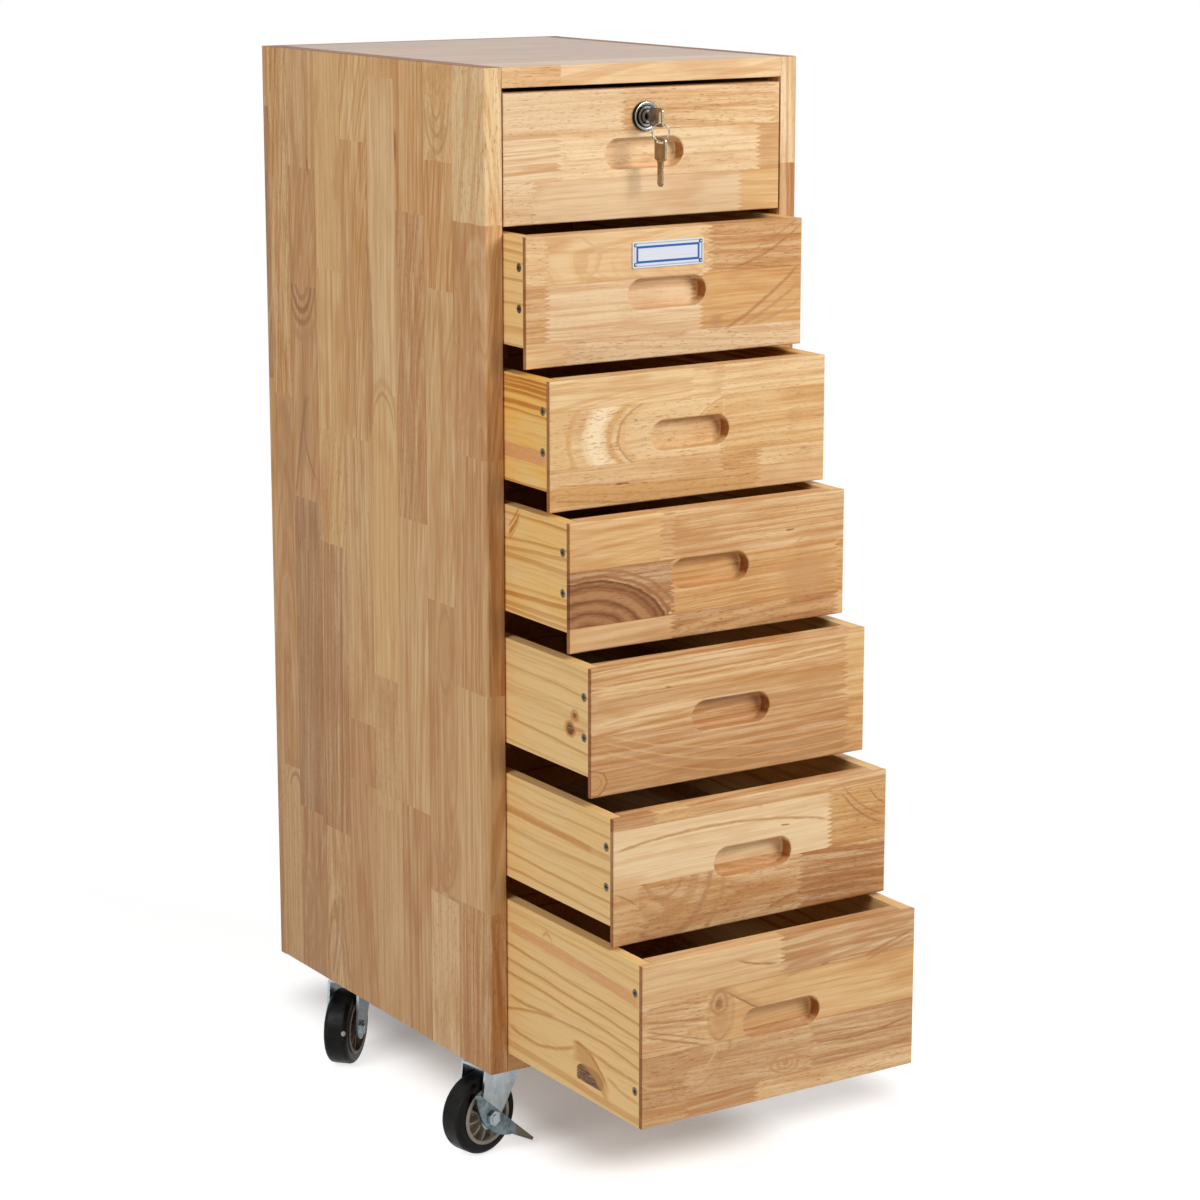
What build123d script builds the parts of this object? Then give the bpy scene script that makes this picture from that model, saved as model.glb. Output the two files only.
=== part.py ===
from build123d import *
import math
import os

# A narrow rolling cabinet of seven wooden drawers on four swivel casters.
# Millimetres. X runs to the right, Y to the back and Z up. The origin is on the floor, midway
# between the face of the bottom drawer, which stands open, and the back of the cabinet.

# Boards and fronts
board = 18.0
front_width = 294.6
front_height = 115.0
bottom_front_height = 147.5
side_gap = 1.0
sill_gap = 0.5
front_gaps = (3.9, 10.1, 6.5, 3.8, 5.6, 5.6)  # between the fronts, from the bottom up
head_gap = 4.5
cabinet_depth = 416.4
back_thickness = 11.0
outer_ease = 2.5
inner_ease = 0.8
top_ease = 1.2

# How far each drawer stands open, from the top down
drawer_openings = (0.0, 36.8, 74.7, 106.8, 140.6, 176.0, 221.5)

# Drawer boxes
drawer_side = 12.0
front_lip = 5.0
front_drop = 18.5
box_back_gap = 23.4
slide_clearance = 0.3
bottom_sheet = 4.0
groove_depth = 5.0
groove_height = 7.0
groove_clearance = 0.1
front_ease = 1.6
box_ease = 0.8

# Finger pulls
pull_length = 83.0
pull_height = 27.0
pull_depth = 13.5
pull_rim = 1.6
pull_floor_radius = 3.5

# Drawer runners
runner_height = 16.0
runner_width = 18.0
runner_setback = 3.0
runner_ease = 1.0
runner_screw_pitch = 160.0

# Wood screws and dowels
screw_head_radius = 4.0
screw_head_depth = 2.6
screw_radius = 2.0
recess_width = 1.1
recess_length = 4.6
recess_depth = 1.3
drawer_screw_length = 32.0
drawer_screw_top = 27.0
drawer_screw_pitch = 36.0
bottom_drawer_screw_pitch = 89.0
runner_screw_length = 28.0
back_screw_length = 36.0
back_screw_inset = 60.0
back_screws_per_side = 5
dowel_radius = 4.0
dowel_length = 32.0
dowel_in_side = 12.0
dowels_per_joint = 3
dowel_inset = 45.0

# Cam lock in the top drawer
lock_drop = 25.0
bezel_radius = 13.4
bezel_thickness = 3.6
bezel_ease = 1.2
bezel_groove_outer = 11.2
bezel_groove_inner = 9.4
bezel_groove_depth = 1.6
housing_radius = 9.5
housing_tail = 5.5
housing_clearance = 0.1
plug_radius = 6.6
plug_proud = 0.8
plug_ease = 0.4
running_clearance = 0.05
lock_nut_radius = 13.0
lock_nut_thickness = 4.0
lock_nut_flats = 22.0
cam_thickness = 2.0
cam_width = 14.0
cam_reach = 34.5
cam_hole_radius = 3.0
cam_screw_head_radius = 4.5
cam_screw_head_height = 2.4
mortise_clearance = 1.5

# Keys
key_thickness = 2.0
key_blade_length = 23.0
key_blade_height = 7.2
key_bow_length = 20.1
key_bow_width = 16.7
key_bow_radius = 3.0
key_shoulder = 3.0
key_point = 2.4
key_neck_width = 12.8
key_slot_width = 3.6
key_slot_length = 12.0
key_slot_edge = 1.8
key_cut_depths = (1.6, 0.5, 0.9, 1.6, 0.5)
key_cut_pitch = 3.4
key_first_cut = 4.8
key_clearance = 0.1
key_shoulder_gap = 4.2
ring_radius = 7.6
ring_wire_radius = 0.65
ring_hang_gap = 0.3
ring_turn = 25.0

# Plate on the second drawer
plate_width = 75.5
plate_height = 23.4
plate_drop = 22.3
plate_thickness = 0.8
plate_rim = 1.6
plate_rim_height = 0.5
plate_corner = 1.5
plate_pin_radius = 1.1
plate_pin_length = 6.0
plate_pin_inset = 3.0
plate_pin_head = 0.6
plate_pin_ease = 0.5

# Casters
caster_height = 97.0
caster_inset_x = 49.0
caster_inset_y = 65.5
trail = 29.0
wheel_radius = 37.5
tyre_width = 24.3
tyre_edge = 5.0
hub_radius = 27.4
hub_rim = 3.2
hub_rim_width = 26.4
hub_web = 5.0
hub_boss_radius = 9.0
hub_boss_width = 27.0
spokes = 10
spoke_thickness = 1.8
spoke_width = 21.0
spoke_curve = 15.0
fork_gap = 0.7
fork_thickness = 2.5
fork_foot_radius = 12.0
fork_crown_back = 34.0
fork_crown_front = 12.0
fork_bend = 2.4
fork_shoulder = 10.0
fork_crown_drop = 10.5
plate_steel = 2.5
caster_plate_width = 61.0
caster_plate_length = 92.0
caster_plate_corner = 6.0
caster_bolt_x = 44.0
caster_bolt_y = 75.0
race_radius = 23.0
race_drop = 3.6
race_gap = 0.3
crown_boss_inset = 1.5
race_ease = 1.4
kingpin_radius = 5.0
kingpin_head_radius = 8.0
kingpin_head_height = 3.2
rivet_height = 1.6
rivet_clearance = 1.0
axle_radius = 4.0
nut_radius = 7.5
nut_height = 3.2
bolt_end = 1.0
bolt_head_height = 4.2
caster_screw_radius = 2.5
caster_screw_length = 14.0
caster_screw_head_radius = 5.0
caster_screw_head_height = 3.0
caster_screw_ease = 1.4
caster_names = ("front_left", "front_right", "rear_left", "rear_right")
caster_turns = (13.2, 166.8, 42.9, 137.1)

# Brake levers on the front casters
lever_thickness = 2.5
lever_gap = 0.3
lever_slope = 41.6
lever_top = 31.0
lever_heel = 34.0
lever_half_width = 9.4
lever_belly = 10.3
lever_pedal_length = 25.0
lever_tip_width = 3.0
lever_tip_rise = 1.5
lever_pedal_splay = 16.0
lever_corner = 2.1

# Worked out from the sizes above
small_drawers = len(front_gaps)
drawers = small_drawers + 1
inner_width = front_width + 2 * side_gap
cabinet_width = inner_width + 2 * board
fronts_stack = bottom_front_height + small_drawers * front_height + sum(front_gaps)
body_height = 2 * board + sill_gap + fronts_stack + head_gap
body_bottom = caster_height
body_top = body_bottom + body_height
front_y = (max(drawer_openings) - cabinet_depth) / 2
back_y = front_y + cabinet_depth
carcass_depth = cabinet_depth - back_thickness
carcass_back_y = front_y + carcass_depth
box_length = carcass_depth - box_back_gap
axle_z = wheel_radius


def front_levels():
    """Bottom and height of each drawer front, from the top drawer down."""
    levels = [(body_bottom + board + sill_gap, bottom_front_height)]
    for gap in front_gaps:
        bottom, height = levels[-1]
        levels.append((bottom + height + gap, front_height))
    return levels[::-1]


front_table = front_levels()


def block(x, y, z):
    """A box between the low and high of each axis."""
    spans = (x, y, z)
    sizes = [high - low for low, high in spans]
    return Pos(*[low for low, high in spans]) * Box(*sizes, align=(Align.MIN,) * 3)


def rod(start, direction, radius, length):
    """A cylinder from a point along a direction."""
    place = Plane(origin=start, z_dir=direction).location
    return place * Cylinder(radius, length, align=(Align.CENTER, Align.CENTER, Align.MIN))


def hexagon(start, direction, radius, height):
    """A hexagonal prism from a point along a direction."""
    place = Plane(origin=start, z_dir=direction).location
    return place * extrude(RegularPolygon(radius, 6), height)


def screw_envelope(length):
    """A countersunk screw's outside, head up at the origin."""
    head = Pos(0, 0, -screw_head_depth) * Cone(
        screw_radius, screw_head_radius, screw_head_depth,
        align=(Align.CENTER, Align.CENTER, Align.MIN))
    shank = rod((0, 0, -length), (0, 0, 1), screw_radius, length - screw_head_depth)
    return head + shank


def wood_screw(length):
    """A countersunk screw with a cross recess, head up at the origin."""
    screw = screw_envelope(length)
    for turn in (0, 90):
        bar = Box(recess_length, recess_width, recess_depth,
                  align=(Align.CENTER, Align.CENTER, Align.MAX))
        screw -= Rot(0, 0, turn) * bar
    return screw


def placed(shape, point, outward):
    """A screw or its envelope, moved so that its head faces outward at a point."""
    return Plane(origin=point, z_dir=outward).location * shape


def save(name, *solids):
    """Write one sub-part's solids to its own STEP file."""
    shapes = [s for shape in solids for s in shape.solids()]
    export_step(shapes[0] if len(shapes) == 1 else Compound(children=shapes),
                os.path.join("parts", name + ".step"))


def runner_spots():
    """Side and top level of every drawer runner."""
    for bottom, height in front_table[:-1]:
        for side in (-1, 1):
            yield side, bottom + front_drop - slide_clearance


def runner_screw_spots():
    """Head point and outward direction of each screw that holds a runner."""
    middle = (front_y + board + carcass_back_y) / 2
    for side, top in runner_spots():
        x = side * (inner_width / 2 - runner_width)
        for step in (-1, 0, 1):
            yield (x, middle + step * runner_screw_pitch, top - runner_height / 2), (-side, 0, 0)


def back_screw_spots():
    """Head point of each screw that holds the back panel."""
    span = body_height - 2 * back_screw_inset
    for side in (-1, 1):
        for step in range(back_screws_per_side):
            z = body_bottom + back_screw_inset + span * step / (back_screws_per_side - 1)
            yield side * (cabinet_width - board) / 2, back_y, z
    for z in (body_bottom + board / 2, body_top - board / 2):
        for side in (-1, 1):
            yield side * inner_width / 4, back_y, z


def dowel_spots():
    """Side, place along the depth and level of each dowel between a side and an end panel."""
    span = carcass_depth - 2 * dowel_inset
    for side in (-1, 1):
        for z in (body_bottom + board / 2, body_top - board / 2):
            for step in range(dowels_per_joint):
                yield side, front_y + dowel_inset + span * step / (dowels_per_joint - 1), z


def dowel(side, y, z):
    """One dowel across the seam between a side panel and an end panel."""
    x = side * (inner_width / 2 + dowel_in_side)
    return rod((x, y, z), (-side, 0, 0), dowel_radius, dowel_length)


def side_panel(side):
    """A full-height side with rounded outer corners and blind dowel holes."""
    inner, outer = side * inner_width / 2, side * cabinet_width / 2
    panel = block(sorted((inner, outer)), (front_y, carcass_back_y), (body_bottom, body_top))
    upright = panel.edges().filter_by(Axis.Z).group_by(Axis.Y)[0].sort_by(Axis.X)
    outside, inside = (upright[0], upright[-1]) if side < 0 else (upright[-1], upright[0])
    panel = fillet(outside, outer_ease)
    inside = panel.edges().filter_by(Axis.Z).sort_by_distance((inner, front_y, body_bottom))[0]
    panel = fillet(inside, inner_ease)
    ends = panel.edges().filter_by(Axis.Y).group_by(Axis.X)[0 if side < 0 else -1]
    panel = fillet(ends, top_ease)
    for at, y, z in dowel_spots():
        if at == side:
            panel -= dowel(at, y, z)
    for point, outward in runner_screw_spots():
        if outward[0] == -side:
            panel -= placed(screw_envelope(runner_screw_length), point, outward)
    for x, y, z in back_screw_spots():
        if x * side > inner_width / 2:
            panel -= placed(screw_envelope(back_screw_length), (x, y, z), (0, 1, 0))
    return panel


def end_panel(low):
    """The top or bottom panel, set between the sides."""
    panel = block((-inner_width / 2, inner_width / 2), (front_y, carcass_back_y), (low, low + board))
    front_edges = panel.edges().filter_by(Axis.X).group_by(Axis.Y)[0]
    panel = fillet(front_edges, inner_ease)
    for side, y, z in dowel_spots():
        if low < z < low + board:
            panel -= dowel(side, y, z)
    for x, y, z in back_screw_spots():
        if low < z < low + board:
            panel -= placed(screw_envelope(back_screw_length), (x, y, z), (0, 1, 0))
    return panel


def cam_mortise():
    """The pocket under the top panel that the lock's cam turns up into."""
    lock_z = lock_height()
    under = body_top - board
    rise = lock_z + cam_reach - under
    tip = cam_width / 2
    reach = math.sqrt(cam_reach ** 2 - (under - lock_z) ** 2) + tip
    y = cam_y()
    return block((-tip - mortise_clearance, reach + mortise_clearance),
                 (y - mortise_clearance, y + cam_thickness + mortise_clearance),
                 (under - board, under + rise + mortise_clearance))


def bolt_spots():
    """Centre of every screw of a caster plate, from the plate's centre."""
    for x in (-1, 1):
        for y in (-1, 1):
            yield x * caster_bolt_x / 2, y * caster_bolt_y / 2


def caster_spots():
    """Swivel axis of each caster, front left, front right, rear left, rear right."""
    x = cabinet_width / 2 - caster_inset_x
    for y in (front_y + caster_inset_y, back_y - caster_inset_y):
        for side in (-1, 1):
            yield side * x, y


def caster_screw():
    """A pan-head screw, its head's underside at the origin and its shank up."""
    head = rod((0, 0, -caster_screw_head_height), (0, 0, 1),
               caster_screw_head_radius, caster_screw_head_height)
    head = fillet(head.edges().group_by(Axis.Z)[0], caster_screw_ease)
    shank = rod((0, 0, 0), (0, 0, 1), caster_screw_radius, caster_screw_length)
    return head + shank


def bottom_panel():
    """The bottom panel, drilled for the caster screws and over the riveted kingpins."""
    panel = end_panel(body_bottom)
    for x, y in caster_spots():
        for dx, dy in bolt_spots():
            panel -= Pos(x + dx, y + dy, body_bottom - plate_steel) * caster_screw()
        panel -= rod((x, y, body_bottom), (0, 0, 1), kingpin_head_radius + rivet_clearance,
                     rivet_height + rivet_clearance)
    return panel


def back_panel():
    """The overlaid back with its screw holes."""
    panel = block((-cabinet_width / 2, cabinet_width / 2), (carcass_back_y, back_y),
                  (body_bottom, body_top))
    panel = fillet(panel.edges().group_by(Axis.Y)[-1], top_ease)
    for spot in back_screw_spots():
        panel -= placed(screw_envelope(back_screw_length), spot, (0, 1, 0))
    return panel


def runner(side, top):
    """One wooden cleat that carries a drawer side."""
    x = sorted((side * inner_width / 2, side * (inner_width / 2 - runner_width)))
    y = (front_y + board + runner_setback, carcass_back_y)
    cleat = block(x, y, (top - runner_height, top))
    inner_edges = cleat.edges().filter_by(Axis.Y).group_by(Axis.X)[-1 if side < 0 else 0]
    return fillet(inner_edges, runner_ease)


def runners():
    """All cleats, countersunk for their screws."""
    cleats = []
    for side, top in runner_spots():
        cleat = runner(side, top)
        for point, outward in runner_screw_spots():
            if outward[0] == -side and top - runner_height < point[2] < top:
                cleat -= placed(screw_envelope(runner_screw_length), point, outward)
        cleats.append(cleat)
    return cleats


def carcass_screws():
    """The screws of the runners and of the back."""
    short, long = wood_screw(runner_screw_length), wood_screw(back_screw_length)
    screws = [placed(short, point, outward) for point, outward in runner_screw_spots()]
    return screws + [placed(long, spot, (0, 1, 0)) for spot in back_screw_spots()]


def stadium(length, height):
    """A slot outline that lies in the XZ plane."""
    return Plane.XZ * SlotOverall(length, height)


def finger_pull(face_y, z):
    """The rounded pocket cut into a front."""
    pocket = Pos(0, face_y + pull_depth, z) * extrude(stadium(pull_length, pull_height), pull_depth)
    return fillet(pocket.edges().group_by(Axis.Y)[-1], pull_floor_radius)


def screw_levels(number):
    """Heights of the screws at each end of a drawer side."""
    bottom, height = front_table[number]
    pitch = drawer_screw_pitch if number < small_drawers else bottom_drawer_screw_pitch
    top = bottom + height - drawer_screw_top
    return top, top - pitch


def drawer_frame(number):
    """Face, underside of the sides, top and inside height of one drawer, where it stands."""
    bottom, height = front_table[number]
    face = front_y - drawer_openings[number]
    under = bottom + front_drop if number < small_drawers else bottom - sill_gap + slide_clearance
    return face, under, bottom + height


def drawer_screws_at(number):
    """Head point and outward direction of each screw of one drawer."""
    face, under, top = drawer_frame(number)
    back = face + box_length - drawer_side / 2
    for side in (-1, 1):
        for z in screw_levels(number):
            for y in (face + (front_lip + board) / 2, back):
                yield (side * front_width / 2, y, z), (side, 0, 0)


def bottom_groove(number):
    """The space of the drawer's bottom sheet, with its clearance."""
    face, under, top = drawer_frame(number)
    half = front_width / 2 - drawer_side + groove_depth
    return block((-half, half), (face + board - groove_depth, face + box_length),
                 (under + groove_height, under + groove_height + bottom_sheet + groove_clearance))


def drawer_front(number):
    """A front with rebated ends, a finger pull and a groove for the bottom."""
    bottom, height = front_table[number]
    face = drawer_frame(number)[0]
    half = front_width / 2
    front = block((-half, half), (face, face + board), (bottom, bottom + height))
    front = fillet(front.edges().group_by(Axis.Y)[0], front_ease)
    for side in (-1, 1):
        ends = sorted((side * half, side * (half - drawer_side)))
        front -= block(ends, (face + front_lip, face + board), (bottom, bottom + height))
    front -= finger_pull(face, bottom + height / 2)
    rim = [e for e in front.edges().group_by(Axis.Y)[0] if abs(e.center().X) < pull_length / 2
           and abs(e.center().Z - bottom - height / 2) < pull_height]
    front = fillet(rim, pull_rim)
    front -= bottom_groove(number)
    for point, outward in drawer_screws_at(number):
        if point[1] < face + board:
            front -= placed(screw_envelope(drawer_screw_length), point, outward)
    return front


def drawer_box(number):
    """The two sides and the back of one drawer."""
    face, under, top = drawer_frame(number)
    half = front_width / 2
    groove = bottom_groove(number)
    boards = []
    for side in (-1, 1):
        x = sorted((side * half, side * (half - drawer_side)))
        wall = block(x, (face + front_lip, face + box_length), (under, top))
        wall = fillet(wall.edges().filter_by(Axis.Y).group_by(Axis.Z)[-1], box_ease)
        boards.append(wall - groove)
    inner = half - drawer_side
    sheet_top = under + groove_height + bottom_sheet + groove_clearance
    boards.append(block((-inner, inner), (face + box_length - drawer_side, face + box_length),
                        (sheet_top, top)))
    screws = [placed(screw_envelope(drawer_screw_length), point, outward)
              for point, outward in drawer_screws_at(number)]
    return [piece - screws for piece in boards]


def drawer_bottom(number):
    """The plywood sheet in its grooves."""
    face, under, top = drawer_frame(number)
    half = front_width / 2 - drawer_side + groove_depth - groove_clearance
    low = under + groove_height
    return block((-half, half),
                 (face + board - groove_depth + groove_clearance, face + box_length),
                 (low, low + bottom_sheet))


def drawer_screws(number):
    """The screws that hold one drawer together."""
    screw = wood_screw(drawer_screw_length)
    return [placed(screw, point, outward) for point, outward in drawer_screws_at(number)]


def lock_height():
    """Level of the lock's axis."""
    bottom, height = front_table[0]
    return bottom + height - lock_drop


def lock_face():
    """Place of the top drawer's face along the depth."""
    return front_y - drawer_openings[0]


def cam_y():
    """Near face of the cam along the depth."""
    return lock_face() + board + housing_tail


def lock_rod(radius, near, far):
    """A cylinder on the lock's axis between two places along the depth."""
    return rod((0, near, lock_height()), (0, 1, 0), radius, far - near)


def lock_housing():
    """The fixed barrel with its round bezel."""
    face = lock_face()
    bezel = lock_rod(bezel_radius, face - bezel_thickness, face)
    bezel = fillet(bezel.edges().group_by(Axis.Y)[0], bezel_ease)
    body = bezel + lock_rod(housing_radius, face, cam_y())
    ring = (face - bezel_thickness, face - bezel_thickness + bezel_groove_depth)
    body -= lock_rod(bezel_groove_outer, *ring) - lock_rod(bezel_groove_inner, *ring)
    return body - lock_rod(plug_radius + running_clearance, face - bezel_thickness, cam_y())


def lock_plug():
    """The turning plug with its keyway and the tail that carries the cam."""
    face = lock_face()
    plug = lock_rod(plug_radius, face - bezel_thickness - plug_proud, cam_y())
    plug = chamfer(plug.edges().group_by(Axis.Y)[0], plug_ease)
    plug += lock_rod(cam_hole_radius, cam_y(), cam_y() + cam_thickness)
    half = key_thickness / 2 + key_clearance
    rise = key_blade_height / 2 + key_clearance
    z = lock_height()
    tip = key_start() + key_bow_length + key_blade_length
    return plug - block((-half, half), (face - bezel_thickness - plug_proud, tip + key_clearance),
                        (z - rise, z + rise))


def lock_nut():
    """The round nut behind the front, cut with two spanner flats."""
    near = lock_face() + board
    nut = lock_rod(lock_nut_radius, near, near + lock_nut_thickness)
    flats = Pos(0, near, lock_height()) * Box(
        2 * lock_nut_radius, 2 * lock_nut_thickness, lock_nut_flats)
    return (nut & flats) - lock_rod(housing_radius, near, near + lock_nut_thickness)


def lock_cam():
    """The flat cam, which points sideways when unlocked, and its screw."""
    y, z = cam_y(), lock_height()
    tip = cam_width / 2
    arm = block((0, cam_reach - tip), (y, y + cam_thickness), (z - tip, z + tip))
    arm += lock_rod(tip, y, y + cam_thickness)
    arm += Pos(cam_reach - tip, 0, 0) * lock_rod(tip, y, y + cam_thickness)
    arm -= lock_rod(cam_hole_radius, y, y + cam_thickness)
    far = y + cam_thickness
    return [arm, lock_rod(cam_screw_head_radius, far, far + cam_screw_head_height)]


def key_start():
    """Outer end of the inserted key's bow along the depth."""
    return lock_face() - bezel_thickness - plug_proud - key_shoulder_gap - key_bow_length


def flat_key():
    """A key lying flat: blade tip at the origin, bow along +X."""
    bow_x = key_blade_length + key_bow_length / 2
    bow = Pos(bow_x, 0) * RectangleRounded(key_bow_length, key_bow_width, key_bow_radius)
    point = key_point
    half = key_blade_height / 2
    neck = key_neck_width / 2
    blade = make_face(Polyline(
        (0, -half + point), (0, half - point), (point, half),
        (key_blade_length - key_shoulder, half), (key_blade_length + key_shoulder, neck),
        (key_blade_length + key_shoulder, -neck),
        (key_blade_length - key_shoulder, -half), (point, -half), (0, -half + point)))
    outline = blade + bow
    slot_x = key_blade_length + key_bow_length - key_slot_edge - key_slot_width / 2
    outline -= Pos(slot_x, 0) * Rot(0, 0, 90) * SlotOverall(key_slot_length, key_slot_width)
    for step, depth in enumerate(key_cut_depths):
        notch = Rectangle(depth * math.sqrt(2), depth * math.sqrt(2))
        outline -= Pos(key_first_cut + key_cut_pitch * step, half) * Rot(0, 0, 45) * notch
    return Pos(0, 0, -key_thickness / 2) * extrude(outline, key_thickness)


def inserted_key():
    """The key in the lock, its bow upright in front of the drawer."""
    tip = key_start() + key_bow_length + key_blade_length
    return Plane(origin=(0, tip, lock_height()), x_dir=(0, -1, 0), z_dir=(1, 0, 0)).location * flat_key()


def ring_centre():
    """Centre of the key ring, which hangs in the inserted key's slot."""
    y = key_start() + key_slot_edge + key_slot_width / 2
    wire_top = lock_height() - key_slot_length / 2 + ring_hang_gap + ring_wire_radius
    return 0, y, wire_top - ring_radius


def key_ring():
    """The wire ring, turned a little about the vertical."""
    return Pos(*ring_centre()) * Rot(0, 0, -ring_turn) * Rot(90, 0, 0) * Torus(
        ring_radius, ring_wire_radius)


def spare_key():
    """The second key, hanging bow up from the ring."""
    x, y, z = ring_centre()
    slot_end = key_blade_length + key_bow_length - key_slot_edge
    tip = z - ring_radius + ring_wire_radius + ring_hang_gap - slot_end
    return Plane(origin=(x, y, tip), x_dir=(0, 0, 1), z_dir=(1, 0, 0)).location * flat_key()


def plate_frame():
    """Face and centre level of the plate on the second drawer."""
    bottom, height = front_table[1]
    return front_y - drawer_openings[1], bottom + height - plate_drop


def plate_pin_spots():
    """Centre of each pin of the plate."""
    face, z = plate_frame()
    for x in (-1, 1):
        for rise in (-1, 1):
            yield (x * (plate_width / 2 - plate_pin_inset), face,
                   z + rise * (plate_height / 2 - plate_pin_inset))


def plate_and_pins():
    """The bare metal plate with its raised rim, and its four pins."""
    face, z = plate_frame()
    outline = Plane.XZ * RectangleRounded(plate_width, plate_height, plate_corner)
    inner = Plane.XZ * RectangleRounded(
        plate_width - 2 * plate_rim, plate_height - 2 * plate_rim, plate_corner / 2)
    sheet = Pos(0, face, z) * extrude(outline, plate_thickness + plate_rim_height)
    sheet -= Pos(0, face - plate_thickness, z) * extrude(inner, plate_rim_height)
    pins = []
    for x, y, pin_z in plate_pin_spots():
        start = (x, y - plate_thickness - plate_rim_height - plate_pin_head, pin_z)
        reach = plate_thickness + plate_rim_height + plate_pin_head + plate_pin_length
        pin = rod(start, (0, 1, 0), plate_pin_radius, reach)
        pins.append(fillet(pin.edges().group_by(Axis.Y)[0], plate_pin_ease))
        sheet -= rod(start, (0, 1, 0), plate_pin_radius, reach)
    return [sheet] + pins


def plate_holes():
    """The pin holes in the second drawer's front."""
    return [rod(spot, (0, 1, 0), plate_pin_radius, plate_pin_length) for spot in plate_pin_spots()]


def caster_plate(x, y):
    """One top plate with its upper race and its kingpin."""
    low = body_bottom - plate_steel
    sheet = Pos(x, y, low) * extrude(
        RectangleRounded(caster_plate_width, caster_plate_length, caster_plate_corner), plate_steel)
    race = rod((x, y, low - race_drop), (0, 0, 1), race_radius, race_drop)
    race = fillet(race.edges().group_by(Axis.Z)[0], race_ease)
    sheet += race
    for dx, dy in bolt_spots():
        sheet -= rod((x + dx, y + dy, low), (0, 0, 1), caster_screw_radius, plate_steel)
    sheet -= rod((x, y, low - race_drop), (0, 0, 1), kingpin_radius, race_drop + plate_steel)
    crown_low = body_bottom - fork_crown_drop - fork_thickness
    head_top = crown_low - race_gap
    pin = rod((x, y, head_top), (0, 0, 1), kingpin_radius, body_bottom - head_top)
    pin += rod((x, y, head_top - kingpin_head_height), (0, 0, 1),
               kingpin_head_radius, kingpin_head_height)
    pin += rod((x, y, body_bottom), (0, 0, 1), kingpin_head_radius, rivet_height)
    return [sheet, pin]


def caster_screws():
    """The four screws of every caster plate."""
    low = body_bottom - plate_steel
    return [Pos(x + dx, y + dy, low) * caster_screw()
            for x, y in caster_spots() for dx, dy in bolt_spots()]


def fork_inside():
    """Distance from the wheel's middle to the inside of a fork leg."""
    return hub_boss_width / 2 + fork_gap


def caster_fork(braked):
    """The pressed fork, swivel axis on the Z axis and the wheel behind along -X."""
    top = body_bottom - fork_crown_drop
    inside = fork_inside()
    outside = inside + fork_thickness
    shoulder = top - fork_shoulder
    corners = Polyline(
        (-fork_crown_back, top), (fork_crown_front, top), (fork_crown_front, shoulder),
        (-fork_crown_back, shoulder), close=True)
    foot = Pos(-trail, axle_z) * Circle(fork_foot_radius).edge()
    leg_face = make_face(make_hull([*corners.edges(), foot]))
    leg = Plane.XZ * extrude(leg_face, outside, both=True)
    tunnel = block((-fork_crown_back, fork_crown_front), (-inside, inside),
                   (0, top - fork_thickness))
    tunnel += block((-trail - fork_foot_radius, -trail + fork_foot_radius),
                    (-inside, inside), (0, top - fork_thickness))
    fork = leg - tunnel
    crown_edges = fork.edges().filter_by(Axis.X).group_by(Axis.Z)[-1]
    fork = fillet(crown_edges, fork_bend)
    race_top = body_bottom - plate_steel - race_drop - race_gap
    fork += rod((0, 0, top), (0, 0, 1), outside - crown_boss_inset, race_top - top)
    fork -= rod((0, 0, 0), (0, 0, 1), kingpin_radius + running_clearance, body_bottom)
    fork -= rod((-trail, -outside, axle_z), (0, 1, 0), axle_radius, 2 * outside)
    near = outside + (lever_thickness + 2 * lever_gap if braked else 0)
    far = near + nut_height + bolt_end
    bolt = rod((-trail, -far, axle_z), (0, 1, 0), axle_radius, far + outside)
    bolt += hexagon((-trail, outside, axle_z), (0, 1, 0), nut_radius, bolt_head_height)
    nut = hexagon((-trail, -near - nut_height, axle_z), (0, 1, 0), nut_radius, nut_height)
    nut -= rod((-trail, -near - nut_height, axle_z), (0, 1, 0), axle_radius, nut_height)
    return [fork, bolt, nut]


def tyre():
    """The rubber tyre about its own axis along Y."""
    band = rod((0, -tyre_width / 2, 0), (0, 1, 0), wheel_radius, tyre_width)
    band = fillet(band.edges(), tyre_edge)
    return band - rod((0, -tyre_width / 2, 0), (0, 1, 0), hub_radius, tyre_width)


def hub():
    """The moulded hub with curved spokes about its own axis along Y."""
    def disc(radius, width):
        return rod((0, -width / 2, 0), (0, 1, 0), radius, width)
    rim_inner = hub_radius - hub_rim
    rim = disc(hub_radius, hub_rim_width) - disc(rim_inner, hub_rim_width)
    middle = (hub_boss_radius + rim_inner) / 2
    reach = (rim_inner - hub_boss_radius) / 2 + spoke_thickness
    rise = math.sqrt(spoke_curve ** 2 - reach ** 2)
    spoke = Pos(middle, -rise) * (Circle(spoke_curve + spoke_thickness / 2)
                                  - Circle(spoke_curve - spoke_thickness / 2))
    window = Pos(middle, spoke_curve / 2 + spoke_thickness) * Rectangle(
        2 * reach, spoke_curve + 2 * spoke_thickness)
    ring = Circle(rim_inner + hub_rim / 2) - Circle(hub_boss_radius - spoke_thickness / 2)
    spoke = spoke & window & ring
    wheel = rim + disc(rim_inner, hub_web) + disc(hub_boss_radius, hub_boss_width)
    for step in range(spokes):
        rib = Plane.XZ * extrude(Rot(0, 0, 360 * step / spokes) * spoke, spoke_width / 2, both=True)
        wheel += rib
    return wheel - disc(axle_radius + running_clearance, hub_boss_width)


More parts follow.
